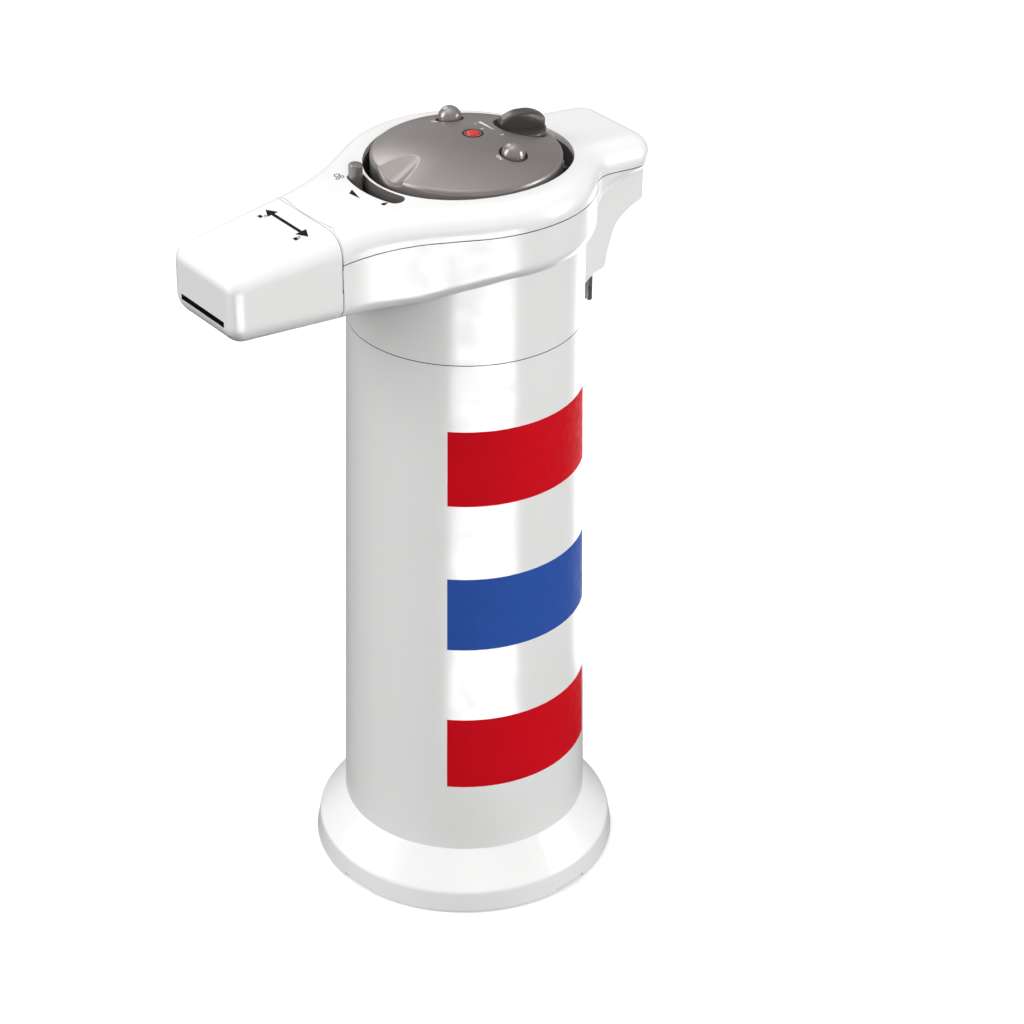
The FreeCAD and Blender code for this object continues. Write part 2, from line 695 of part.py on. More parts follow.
def coil(node, place_x, place_y, low, high, radius, wire, turns):
    """A coil spring between two levels."""
    body = new_body(node)
    sketch = new_sketch(body, "XZ_Plane", -as_size(place_y), place_x)
    draw_circles(sketch, [(radius, low + wire)], wire)
    helix = body.newObject("PartDesign::AdditiveHelix", node + "_helix")
    helix.Profile = sketch
    helix.ReferenceAxis = (sketch, ["V_Axis"])
    helix.Mode = "pitch-height-angle"
    bind(helix, "Pitch", (high - low - wire * 2) / turns)
    bind(helix, "Height", high - low - wire * 2)
    body.Tip = helix
    return keep(body, node)


# ---------------------------------------------------------------- foot and tube

cover_low = S.mat_thickness
ledge_low = cover_low + S.cover_thickness + S.fit_gap
floor_low = ledge_low + S.ledge_thickness
floor_top = floor_low + S.floor_thickness
tail_low = floor_top + S.fit_gap
tube_top = S.seam_height - S.seam_gap / 2
collar_inner = S.tail_radius + S.fit_gap
foot_screw_places = ring(45, 4, S.foot_screw_circle)

# The tube: one moulding, its lower end a spigot that stands in the foot's collar.
body = new_body("can_tube")
revolve(body, (
    (S.tail_radius, tail_low), (S.tail_radius, S.base_height), (S.tube_bottom_radius, S.base_height),
    (S.tube_top_radius, tube_top), (S.tube_top_radius - S.tube_wall, tube_top),
    (S.tube_bottom_radius - S.tube_wall, S.base_height), (S.tail_radius - S.tube_wall, tail_low)))
keep(body, "can_tube")

# The foot: a conical ring with an inner collar, a ledge, eight ribs and four finger notches.
slope_run = S.foot_shoulder - S.tube_bottom_radius
slope_rise = S.base_height - S.foot_side
rib_inner = collar_inner + S.foot_collar
rib_top = S.foot_side + (S.foot_shoulder - rib_inner) * slope_rise / slope_run - S.foot_wall * 1.65
body = new_body("base_foot")
revolve(body, (
    (S.foot_radius, S.foot_rim), (S.foot_shoulder, S.foot_side, S.foot_rounding),
    (S.tube_bottom_radius, S.base_height), (collar_inner, S.base_height), (collar_inner, floor_low),
    (S.ledge_radius, floor_low), (S.ledge_radius, ledge_low), (rib_inner, ledge_low),
    (rib_inner, rib_top), (S.foot_shoulder - S.foot_wall * 0.8, S.foot_side - S.foot_wall * 0.62),
    (S.foot_radius - S.foot_wall, S.foot_rim)))
sketch = new_sketch(body, "XZ_Plane")
draw_polygon(sketch, (
    (rib_inner - 0.3, ledge_low), (S.foot_shoulder - S.foot_wall / 2, ledge_low),
    (S.foot_shoulder - S.foot_wall / 2, S.foot_side - S.foot_wall / 2),
    (rib_inner - 0.3, rib_top + S.foot_wall / 2)))
repeat_round(body, extrude(body, sketch, S.rib_thickness, both=True), 8)
sketch = new_sketch(body, "XY_Plane", S.foot_rim, turn=S.notch_turn)
draw_polygon(sketch, (
    (S.foot_radius - S.foot_wall * 2, -S.notch_width / 2), (S.foot_radius + 1, -S.notch_width / 2),
    (S.foot_radius + 1, S.notch_width / 2), (S.foot_radius - S.foot_wall * 2, S.notch_width / 2)))
repeat_round(body, extrude(body, sketch, S.notch_height, "Pocket", reverse=True), 4)
round_plate(body, ledge_low - 0.1, foot_screw_places, S.large_shank + S.fit_gap,
            S.ledge_thickness + 0.2, "Pocket")
keep(body, "base_foot")

# The floor on the ledge, with the ring that centres the can, and the foam that carries it.
body = new_body("can_floor")
ring_top = floor_top + S.floor_ring_height
ring_inner = S.floor_ring_radius - 1.5
revolve(body, (
    (0, floor_low), (S.tail_radius - S.fit_gap, floor_low), (S.tail_radius - S.fit_gap, floor_top),
    (S.floor_ring_radius, floor_top), (S.floor_ring_radius, ring_top), (ring_inner, ring_top),
    (ring_inner, floor_top), (0, floor_top)))
round_plate(body, floor_low - 0.1, foot_screw_places, S.large_shank + S.run_gap,
            S.floor_thickness + 0.2, "Pocket")
keep(body, "can_floor")

body = new_body("can_rest")
round_plate(body, floor_top, [(0, 0)], S.rest_radius, S.rest_thickness)
keep(body, "can_rest")

# The bottom cover and the non-slip mat, held with the floor by four screws.
body = new_body("base_cover")
round_plate(body, cover_low, [(0, 0)], S.cover_radius, S.cover_thickness)
round_plate(body, cover_low - 0.1, foot_screw_places, S.large_shank + S.fit_gap,
            S.cover_thickness + 0.2, "Pocket")
keep(body, "base_cover")

body = new_body("nonslip_mat")
round_plate(body, 0, [(0, 0)], S.mat_radius, S.mat_thickness)
round_plate(body, -0.1, foot_screw_places, S.large_head + S.fit_gap, S.mat_thickness + 0.2, "Pocket")
keep(body, "nonslip_mat")

screws("base_screws", foot_screw_places, cover_low, True, S.large_head, S.large_shank,
       floor_top - cover_low - 0.4)

# The bayonet collar glued in the tube's mouth, with three lugs.
bayonet_outer = S.tube_top_radius - S.tube_wall - S.run_gap
bayonet_inner = bayonet_outer - S.collar_wall
lug_high = S.seam_height - S.lug_level
pieces = [sector("collar_ring", bayonet_inner, bayonet_outer, tube_top - S.collar_depth, tube_top,
                 360, 0)]
for number in range(3):
    pieces.append(sector("collar_lug", bayonet_inner - S.lug_depth, bayonet_inner + 0.2,
                         lug_high - S.lug_height, lug_high, S.lug_angle, 30 + 120 * number))
keep(fuse(pieces), "bayonet_collar")

# ---------------------------------------------------------------- shells of the head

neck_low = S.seam_height + S.seam_gap / 2
bulkhead_top = S.bulkhead_level + S.bulkhead_thickness
neck_inner = S.tube_top_radius - S.tube_wall


def side_corner(azimuth, radius, half, slope):
    """Where the ring's tangent at an angle from the front meets a side line of neck or tail."""
    y = (radius - half * sine(azimuth)) / (slope * sine(azimuth) - cosine(azimuth))
    return half + slope * y, y


def head_form(name, inset):
    """The head's outer form, or the same form drawn in by a wall for its hollow."""
    body = new_body(name)
    radius = S.ring_radius - inset
    neck_half = S.mouth_half - inset + S.mouth_slope * S.mouth_reach
    tail_half = S.tail_half - inset - S.tail_slope * S.tail_reach
    front = -S.mouth_reach - 12
    waist_x, waist_y = side_corner(S.shoulder_turn, radius, neck_half, S.mouth_slope)
    hip_x, hip_y = side_corner(S.hip_turn, radius, tail_half, S.tail_slope)
    middle = (S.shoulder_turn + S.hip_turn) / 2
    bulge = radius / cosine((S.hip_turn - S.shoulder_turn) / 2)
    half_outline = (
        (neck_half + S.mouth_slope * front, front),
        (waist_x, waist_y, S.mouth_blend + inset),
        (bulge * sine(middle), -bulge * cosine(middle), radius),
        (hip_x, hip_y, S.tail_blend + inset),
        (S.tail_half - inset, S.tail_reach - inset, S.tail_corner - inset))
    mirrored = tuple((-corner[0],) + corner[1:] for corner in reversed(half_outline))
    extrude(body, plate_outline(body, S.belly_front - 6, half_outline + mirrored), 46)
    sketch = new_sketch(body, "YZ_Plane")
    draw_arch(sketch, 90, S.crown_height - inset, S.crown_radius - inset, S.crown_height + 20)
    extrude(body, sketch, 120, "Pocket", both=True)
    sketch = new_sketch(body, "YZ_Plane")
    draw_polygon(sketch, (
        (-90, S.belly_front - 10), (-90, S.belly_front + inset),
        (-S.belly_front_end, S.belly_front + inset, S.belly_sweep),
        (-S.belly_middle_start, S.belly_middle + inset, S.belly_sweep),
        (S.belly_middle_end, S.belly_middle + inset, S.belly_sweep),
        (S.belly_back_end, S.belly_back + inset, S.belly_sweep),
        (S.tail_reach + 3, S.belly_tail + inset), (S.tail_reach + 3, S.belly_front - 10)))
    extrude(body, sketch, 120, "Pocket", both=True)

    def is_rim(edge):
        across = edge.BoundBox.YLength < 0.05
        return not is_upright(edge) and not (across and middle_of(edge).y < S.tail_reach.value - 4)

    crown = S.crown_height.value - S.edge_rounding.value - 3
    fillet(body, S.edge_rounding - inset, lambda edge: is_rim(edge) and middle_of(edge).z > crown)
    fillet(body, S.belly_rounding - inset * 0.8,
           lambda edge: is_rim(edge) and middle_of(edge).z < S.belly_tail.value + 3)
    return body


outer_form = head_form("outer_form", as_size(0))
whole_hollow = head_form("whole_hollow", S.head_wall)
under_head = S.seam_height - 3
form = cut(outer_form, block((-50, -S.mouth_reach - 40, under_head), (100, 40 + S.seam_gap / 2, 80)))
inner_form = cut(whole_hollow, block((-50, -S.mouth_reach - 40, under_head),
                                     (100, 40 + S.seam_gap / 2 + S.head_wall, 80)))

# The neck under the head, with the spigot that goes into the tube and the bulkhead across it.
neck = new_body("neck")
spigot_outer = bayonet_inner - S.move_gap
spigot_inner = spigot_outer - S.spigot_wall
spigot_low = neck_low - S.spigot_length
revolve(neck, (
    (spigot_inner, spigot_low), (spigot_outer, spigot_low), (spigot_outer, neck_low),
    (S.tube_top_radius, neck_low), (S.tube_top_radius, S.belly_back), (neck_inner, S.belly_back),
    (neck_inner, bulkhead_top), (0, bulkhead_top), (0, S.bulkhead_level),
    (spigot_inner, S.bulkhead_level)))
neck_bore = cylinder(0, 0, bulkhead_top, neck_inner, 40)

# Posts for the four screws that hold the shells together.
front_posts = [(-S.front_post_side, -S.front_post_reach), (S.front_post_side, -S.front_post_reach)]
tail_posts = [(-S.tail_post_side, S.tail_post_reach), (S.tail_post_side, S.tail_post_reach)]
post_places = front_posts + tail_posts
posts = common(fuse(holes(post_places, S.belly_front, S.post_radius, 40)), outer_form)

walls = cut_all(fuse([form, neck]), [inner_form, neck_bore])
shells = fuse([walls, posts])
bores = holes(post_places, S.belly_front - 5, S.small_shank + S.run_gap,
              S.post_seat + S.post_screw_length + 0.3 - S.belly_front + 5)
bores += holes(front_posts, S.belly_front - 5, S.small_head + S.fit_gap,
               S.post_seat - S.belly_front + 5)
bores += holes(tail_posts, S.belly_front - 5, S.small_shank + S.fit_gap, 30)

# The round socket hole in the front wall, for the spout's spigot.
socket_outer = S.socket_radius + S.move_gap + S.socket_wall
socket_hole = aim_forward(cylinder(0, 0, 0, socket_outer + S.fit_gap, S.mouth_reach + 5))
socket_slot = cut(socket_hole, block((-30, -S.mouth_reach + 8, under_head), (60, 80, 80)))
wall_screws = [aim_forward(cylinder(0, 0, 0, S.small_shank + S.run_gap, S.mouth_reach - 1.2))
               for side in (0, 1)]
place(wall_screws[0], -13.9, 0, S.spout_axis)
place(wall_screws[1], 13.9, 0, S.spout_axis)

# Guide of the valve adapter on the bulkhead, with two slots for the cam pins.
guide_inner = S.adapter_radius + S.run_gap
guide_outer = guide_inner + S.guide_wall
guide = new_body("adapter_guide")
revolve(guide, ((guide_inner, S.bulkhead_level), (guide_outer, S.bulkhead_level),
                (guide_outer, S.guide_top), (guide_inner, S.guide_top)))
pin_slot_low = S.cam_pin_height - S.cam_drop - S.cam_pin_radius - S.move_gap
pin_slot = block((-20, -S.cam_pin_radius - 0.2, pin_slot_low),
                 (40, S.cam_pin_radius * 2 + 0.4, 20))
adapter_hole = cylinder(0, 0, S.bulkhead_level - 1, guide_inner, 30)

# Slots of the bayonet in the spigot: an open leg for the lug and the locked leg beside it.
bayonet_slots = []
for number in range(3):
    turn = 30 + 120 * number
    bayonet_slots.append(sector("open_leg", spigot_inner - 1, spigot_outer + 0.1, spigot_low - 1,
                                lug_high + 0.5, S.lug_angle + 2, turn - 1))
    bayonet_slots.append(sector("locked_leg", spigot_inner - 1, spigot_outer + 0.1,
                                lug_high - S.lug_height - 0.5, lug_high + 0.5,
                                S.lug_angle + S.bayonet_turn, turn))

# The two shells part along an arch over the tube's axis.
below = new_body("below_parting")
sketch = new_sketch(below, "YZ_Plane")
draw_arch(sketch, 95, S.parting_height - S.seam_gap / 2, S.parting_radius, S.parting_height - 98)
extrude(below, sketch, 120, both=True)
above = new_body("above_parting")
sketch = new_sketch(above, "YZ_Plane")
draw_arch(sketch, 95, S.parting_height + S.seam_gap / 2, S.parting_radius, S.crown_height + 24)
extrude(above, sketch, 120, both=True)

heater_screw_places = ring(45, 4, S.heater_screw_circle)
lower = cut_all(common(shells, below), bores + wall_screws + [socket_slot])
lower = cut(fuse([lower, guide]), adapter_hole)
lower = cut_all(lower, bayonet_slots + [pin_slot])
lower = cut_all(lower, holes(heater_screw_places, S.bulkhead_level - 1,
                             S.small_shank + S.run_gap, 6))
keep(lower, "lower_shell")

# The upper shell: opening for the press plate, arc slot for the lever, bosses for the well.
well_hole = oval(S.well_half_width, S.well_half_length, S.well_centre, S.well_floor, 30)
slot_outer = S.slot_radius + S.slot_half
slot_inner = S.slot_radius - S.slot_half
slot_cuts = [sector("lever_slot", slot_inner, slot_outer, S.shield_level, S.lever_pin_top,
                    S.lever_travel, S.lever_rest)]
for angle in (S.lever_rest.value, S.lever_rest.value + S.lever_travel.value):
    slot_cuts += holes(ring(angle, 1, S.slot_radius.value), S.shield_level, S.slot_half, 14)
ear_angles = (-20, 33, 147, 200)
ear_places = []
for angle in ear_angles:
    ear_places += ring(angle, 1, S.ear_circle.value)
ear_top = S.ear_level + S.ear_thickness
ear_screw_top = S.crown_height - 3
bosses = fuse(holes(ear_places, ear_top + S.fit_gap, 1.9, S.crown_height - 1.8 - ear_top))
upper = cut(common(shells, above), well_hole)
upper = fuse([upper, bosses])
upper = cut_all(upper, bores + slot_cuts + [socket_slot])
upper = cut_all(upper, holes(ear_places, S.ear_level, S.small_shank + S.run_gap,
                             ear_screw_top + 0.2 - S.ear_level))
keep(upper, "upper_shell")

screws("shell_screws", post_places, S.post_seat, True, S.small_head, S.small_shank,
       S.post_screw_length)

# The well round the press plate hangs from the upper shell by four ears. Its floor carries
# the two posts of the hinge.
well_wall_x = S.well_half_width + S.well_wall
well_wall_y = S.well_half_length + S.well_wall
well_floor_top = S.well_floor + S.well_floor_thickness
pieces = [oval(well_wall_x, well_wall_y, S.well_centre, S.well_floor, S.well_top - S.well_floor)]
for angle in ear_angles:
    pieces.append(sector("well_ear", S.well_half_width, S.ear_circle + 2.9, S.ear_level, ear_top,
                         9, angle - 4.5))
well_void = oval(S.well_half_width, S.well_half_length, S.well_centre, well_floor_top, 20)
well = cut_all(fuse(pieces), [well_void] + holes(ear_places, S.ear_level - 1,
                                                 S.small_shank + S.run_gap, 4))
well = cut_all(well, holes(ear_places, S.ear_level - S.head_height - S.fit_gap,
                           S.small_head + S.run_gap, S.head_height + S.fit_gap))
pieces = [well]
post_floor = S.hinge_height - well_floor_top
for side in (-1, 1):
    low_x = S.hinge_post_side if side > 0 else -S.hinge_post_side - S.hinge_thickness
    pieces.append(cylinder(low_x, S.hinge_back, S.hinge_height, S.hinge_ear, S.hinge_thickness,
                           Vector(1, 0, 0)))
    pieces.append(block((low_x, S.hinge_back - S.hinge_ear, S.well_floor + 0.5),
                        (S.hinge_thickness, S.hinge_ear * 2, post_floor + 1.1)))
well = cut_all(fuse(pieces), [
    cylinder(-30, S.hinge_back, S.hinge_height, S.hinge_pin_radius + S.run_gap, 60, Vector(1, 0, 0)),
    cylinder(0, 0, S.well_floor - 1, S.plunger_radius + 1, 5)])
keep(well, "well_liner")
screws("liner_screws", ear_places, S.ear_level, True, S.small_head, S.small_shank,
       ear_screw_top - S.ear_level)

# Hinge pin of the press plate.
pin_half = S.hinge_post_side + S.hinge_thickness
body = new_body("hinge_pin")
sketch = new_sketch(body, "YZ_Plane")
draw_circles(sketch, [(S.hinge_back, S.hinge_height)], S.hinge_pin_radius)
extrude(body, sketch, pin_half * 2, both=True)
keep(body, "hinge_pin")


# ---------------------------------------------------------------- valve mechanism

# The adapter sits on the can's valve; the cam moves it down for gel.
body = new_body("valve_adapter")
adapter_bore = S.plunger_radius + S.run_gap
revolve(body, ((adapter_bore, S.adapter_bottom), (S.adapter_radius, S.adapter_bottom),
               (S.adapter_radius, S.adapter_top, 0.5), (adapter_bore, S.adapter_top)))
pin_inner = S.adapter_radius - 2.5
barrel_inner = guide_outer + S.move_gap
barrel_outer = barrel_inner + S.barrel_wall
pin_reach = barrel_outer - 0.3
pin_length = pin_reach - pin_inner
pins = [cylinder(pin_inner, 0, S.cam_pin_height, S.cam_pin_radius, pin_length, Vector(1, 0, 0)),
        cylinder(-pin_inner, 0, S.cam_pin_height, S.cam_pin_radius, pin_length, Vector(-1, 0, 0))]
keep(cut_all(body, [cylinder(pin_inner, 0, S.cam_pin_height, S.cam_pin_radius, 9, Vector(1, 0, 0)),
                    cylinder(-pin_inner, 0, S.cam_pin_height, S.cam_pin_radius, 9,
                             Vector(-1, 0, 0))]), "valve_adapter")
compound = DOC.addObject("Part::Compound", "cam_pins")
compound.Links = pins
keep(compound, "cam_pins")

body = new_body("adapter_seal")
seal_low = S.adapter_bottom - S.valve_seal_height
revolve(body, ((adapter_bore, seal_low), (S.valve_seal_radius - 1, seal_low),
               (S.valve_seal_radius, seal_low + 1), (S.valve_seal_radius, S.adapter_bottom),
               (adapter_bore, S.adapter_bottom)))
keep(body, "adapter_seal")

# The cam barrel turns on the bulkhead round the guide; its two slots slope down by the cam's
# drop over the lever's travel, and its arm carries the lever.
barrel_low = bulkhead_top + 0.3
foot_radius = barrel_outer + S.barrel_foot
barrel = new_body("barrel")
revolve(barrel, ((barrel_inner, barrel_low), (foot_radius, barrel_low), (foot_radius, barrel_low + 1.1),
                 (barrel_outer, barrel_low + 1.1), (barrel_outer, S.barrel_top),
                 (barrel_inner, S.barrel_top)))
arm_low = S.barrel_top - S.arm_thickness
arm_start = S.lever_rest - S.arm_angle / 2
arm = sector("barrel_arm", barrel_inner + 0.5, S.shield_outer - 0.2, arm_low, S.barrel_top,
             S.arm_angle, arm_start)
slot_steps = 11
cam_cuts = []
for side in (0, 180):
    for step in range(slot_steps + 1):
        share = step / float(slot_steps)
        turn = side - S.lever_travel.value * share
        angle = math.radians(turn)
        way = Vector(math.cos(angle), math.sin(angle), 0)
        level = S.cam_pin_height - S.cam_drop * share
        cam_cuts.append(cylinder(0, 0, level, S.cam_pin_radius + S.run_gap * 5, 20, way))
screw_place = ring(S.lever_rest.value, 1, S.lever_screw_radius.value)
barrel = cut_all(fuse([barrel, arm]), [fuse(cam_cuts)])
barrel = cut_all(barrel, holes(screw_place, arm_low - 1, S.small_shank + S.run_gap, 6))
keep(barrel, "cam_barrel")

# The lever: its foot on the arm, a web up past the well, the shield under the slot, the pin.
foot_top = S.barrel_top + S.lever_foot
web_outer = S.shield_outer - 0.2
pieces = [
    sector("lever_foot", S.lever_foot_radius, web_outer, S.barrel_top, foot_top, S.arm_angle, arm_start),
    sector("lever_web", S.web_inner, web_outer, S.barrel_top + 0.5, S.shield_level + 0.5,
           S.arm_angle, arm_start),
    sector("lever_shield", S.shield_inner, S.shield_outer, S.shield_level,
           S.shield_level + S.shield_thickness, S.shield_half_angle * 2,
           S.lever_rest - S.shield_half_angle)]
pin_place = ring(S.lever_rest.value, 1, S.slot_radius.value)[0]
pin = new_body("lever_pin")
revolve(pin, ((0, S.shield_level + 0.5), (S.lever_pin_radius, S.shield_level + 0.5),
              (S.lever_pin_radius, S.lever_pin_top, 0.8), (0, S.lever_pin_top)), axis=pin_place)
lever = cut_all(fuse(pieces + [pin]), holes(screw_place, S.barrel_top - 1,
                                            S.small_shank + S.run_gap, 4))
keep(lever, "slide_lever")
screws("lever_screw", screw_place, foot_top, False, 1.9, S.small_shank,
       S.lever_foot + S.arm_thickness - 0.4)

# The plunger goes through the adapter to the can's stem, with two seal rings, the port of the
# transfer tube and the collar that its spring lifts.
seal_levels = (S.cam_pin_height - 6, S.cam_pin_height + 4)
groove_half = S.seal_section + 0.1
groove_radius = S.plunger_radius - S.seal_section * 2
plunger = new_body("plunger_rod")
revolve(plunger, (
    (S.plunger_bore, S.plunger_bottom), (S.plunger_radius - 1.2, S.plunger_bottom),
    (S.plunger_radius, S.plunger_bottom + 1.2), (S.plunger_radius, S.plunger_collar),
    (S.collar_radius, S.plunger_collar), (S.collar_radius, S.plunger_collar + S.collar_thickness),
    (S.plunger_radius, S.plunger_collar + S.collar_thickness), (S.plunger_radius, S.plunger_top, 0.6),
    (0, S.plunger_top), (0, S.transfer_level + 2.5), (S.plunger_bore, S.transfer_level + 2.5)))
for level in seal_levels:
    revolve(plunger, ((groove_radius, level - groove_half), (S.plunger_radius + 1, level - groove_half),
                      (S.plunger_radius + 1, level + groove_half), (groove_radius, level + groove_half)),
            kind="Groove")
port = cylinder(0, 0, S.transfer_level, S.transfer_radius + S.run_gap, 10, Vector(-1, 0, 0))
keep(cut(plunger, port), "plunger")
rings = []
for level in seal_levels:
    torus = DOC.addObject("Part::Torus", "seal_ring")
    bind(torus, "Radius1", S.plunger_radius - S.seal_section + 0.02)
    bind(torus, "Radius2", S.seal_section)
    place(torus, 0, 0, level)
    rings.append(torus)
compound = DOC.addObject("Part::Compound", "plunger_seals")
compound.Links = rings
keep(compound, "plunger_seals")
coil("return_spring", 0, 0, S.guide_top + 0.1, S.plunger_collar - 0.1, S.spring_radius,
     S.spring_wire, 4)
bent_tube("transfer_tube", "XZ_Plane", (
    (-S.heater_screw_circle, S.block_bottom + 5.2), (-S.heater_screw_circle, S.transfer_level),
    (-3.5, S.transfer_level)), (-S.heater_screw_circle, 0), S.transfer_radius, S.transfer_bore)

# ---------------------------------------------------------------- heater

block_top = S.block_bottom + S.block_height
body = new_body("heater_insulator")
relief = foot_radius + S.move_gap
relief_top = barrel_low + 1.1 + 0.3
revolve(body, ((relief, bulkhead_top), (block_outer + 1.4, bulkhead_top),
               (block_outer + 1.4, S.block_bottom), (barrel_outer + S.move_gap * 2, S.block_bottom),
               (barrel_outer + S.move_gap * 2, relief_top), (relief, relief_top)))
round_plate(body, bulkhead_top - 0.1, heater_screw_places, S.small_shank + S.run_gap, 4, "Pocket")
keep(body, "heater_insulator")

transfer_place = (-S.heater_screw_circle, 0)
outlet_place = (0, -S.outlet_reach)
body = new_body("heater_block")
revolve(body, ((block_inner, S.block_bottom), (block_outer, S.block_bottom),
               (block_outer, block_top, 1), (block_inner, block_top, 1)))
round_plate(body, S.block_bottom - 0.1, heater_screw_places, S.small_shank + S.run_gap, 14, "Pocket")
round_plate(body, S.block_bottom + 2.8, [transfer_place], S.transfer_radius + S.run_gap, 12, "Pocket")
round_plate(body, S.block_bottom + 2.8, [outlet_place], S.outlet_radius + S.run_gap, 12, "Pocket")
keep(body, "heater_block")

body = new_body("heater_band")
band_inner = block_outer + 0.1
band_low = S.block_bottom + 1.8
revolve(body, ((band_inner, band_low), (band_inner + S.band_thickness, band_low),
               (band_inner + S.band_thickness, band_low + S.band_height),
               (band_inner, band_low + S.band_height)), angle=344, turn=98)
keep(body, "heater_band")

screws("heater_screws", heater_screw_places, block_top, False, S.small_head, S.small_shank,
       block_top - S.bulkhead_level - 0.3)

body = new_body("thermostat")
round_plate(body, block_top, [(S.heater_screw_circle, 0)], 6, 3.2)
round_plate(body, block_top + 3.2, [(S.heater_screw_circle, 0)], 4.4, 1.4)
round_plate(body, block_top + 4.6, [(S.heater_screw_circle, -2.2), (S.heater_screw_circle, 2.2)], 0.8, 3)
keep(body, "thermostat")

fuse_radius = as_size(2)
body = new_body("thermal_fuse")
sketch = new_sketch(body, "YZ_Plane")
draw_circles(sketch, [(S.heater_screw_circle, block_top + fuse_radius + 0.05)], fuse_radius)
extrude(body, sketch, 11, both=True)
sketch = new_sketch(body, "YZ_Plane")
draw_circles(sketch, [(S.heater_screw_circle, block_top + fuse_radius + 0.05)], fuse_radius * 0.25)
extrude(body, sketch, 19, both=True)
keep(body, "thermal_fuse")

bent_tube("outlet_tube", "YZ_Plane", (
    (-S.outlet_reach, S.block_bottom + 3), (-S.outlet_reach, S.outlet_level),
    (-S.outlet_rise, S.outlet_level), (-S.outlet_rise - 6, S.spout_axis),
    (-S.outlet_end, S.spout_axis)), outlet_place, S.outlet_radius, S.outlet_bore)

# ---------------------------------------------------------------- spout

# Socket in the head's front wall: a flanged ring with two windows for the spigot's lugs.
# Distances along these pieces are distances from the tube's axis towards the front.
head_front = S.mouth_reach - S.seam_gap / 2
spout_back = S.mouth_reach + S.seam_gap / 2
flange_front = head_front - S.head_wall - 0.1
flange_back = flange_front - 1.8
socket_inner = S.socket_radius + S.move_gap
socket_low = spout_back - S.socket_depth - 1
lug_far = spout_back - S.socket_depth + 3.2
lug_near = lug_far - 2
socket = new_body("socket")
revolve(socket, ((socket_inner, socket_low), (socket_outer, socket_low), (socket_outer, head_front),
                 (socket_inner, head_front)))
extrude(socket, plate_outline(socket, flange_back, box_corners(S.socket_flange, -8, 8)),
        flange_front - flange_back)
round_plate(socket, socket_low - 1, [(0, 0)], socket_inner, S.socket_depth + 4, "Pocket")
round_plate(socket, flange_back - 1, [(-13.9, 0), (13.9, 0)], S.small_shank + S.run_gap, 4, "Pocket")
windows = [sector("socket_window", socket_inner - 0.5, socket_outer + 0.5, lug_near - 0.4, lug_far + 0.4,
                  S.lug_angle + S.spout_turn + 4, turn - S.lug_angle / 2 - 2) for turn in (0, 180)]
keep(aim_forward(cut_all(socket, windows)), "spout_socket")
body_screws = new_body("mouth_screws")
round_plate(body_screws, flange_back - S.head_height, [(-13.9, 0), (13.9, 0)], 2, S.head_height)
round_plate(body_screws, flange_back, [(-13.9, 0), (13.9, 0)], S.small_shank, 3)
keep(aim_forward(body_screws), "socket_screws")

# The spout's shell: a loft from the head's section to the narrower tip. Its edges run from the
# head's roundings to the tip's, and the front is rounded most at the chin, under the slit.
spout_length = S.spout_reach - S.mouth_reach


def spout_form(name, inset, back, front):
    """The spout's outer form, or its hollow, between two distances from the axis."""
    body = new_body(name)
    ends = []
    for reach in (back, front):
        share = (reach - S.mouth_reach) / spout_length
        half = S.mouth_half + (S.spout_tip_half - S.mouth_half) * share - inset
        low = S.belly_front + (S.tip_bottom - S.belly_front) * share + inset
        high = S.mouth_top + (S.tip_top - S.mouth_top) * share - inset
        sketch = new_sketch(body, "XZ_Plane", reach)
        top_corner = S.edge_rounding + (S.tip_edge_rounding - S.edge_rounding) * share - inset * 0.9
        low_corner = S.belly_rounding + (S.tip_belly_rounding - S.belly_rounding) * share - inset * 0.9
        draw_polygon(sketch, ((-half, low, low_corner), (half, low, low_corner),
                              (half, high, top_corner), (-half, high, top_corner)))
        ends.append(sketch)
    loft = body.newObject("PartDesign::AdditiveLoft", name + "_loft")
    loft.Profile = ends[0]
    loft.Sections = [ends[1]]
    loft.Ruled = True
    body.Tip = loft
    return body


def spout_front_rounding(point):
    """The rounding of the front's rim: brow, cheeks and chin, flowing from one to the next."""
    if point.z < S.tip_bottom.value + 0.01:
        return S.chin_rounding
    if point.z > S.tip_top.value - 0.01:
        return S.brow_rounding
    return S.cheek_rounding


def lies_upright_at(edge, reach):
    return edge.BoundBox.YLength < 0.01 and abs(middle_of(edge).y + reach.value) < 0.01


spout = soften(spout_form("spout_form", as_size(0), spout_back, S.spout_reach), spout_front_rounding,
               lambda edge: lies_upright_at(edge, S.spout_reach))
hollow_reach = S.spout_reach - S.spout_front_wall
hollow = spout_form("spout_hollow", S.spout_wall, spout_back - 1, hollow_reach)
fillet(hollow, S.hollow_corner, lambda edge: lies_upright_at(edge, hollow_reach))
slit = block((-S.slit_half, -S.spout_reach - 1, S.slit_level - S.slit_height / 2),
             (S.slit_half * 2, 6, S.slit_height))
keep(cut_all(spout, [hollow, slit]), "spout_shell")

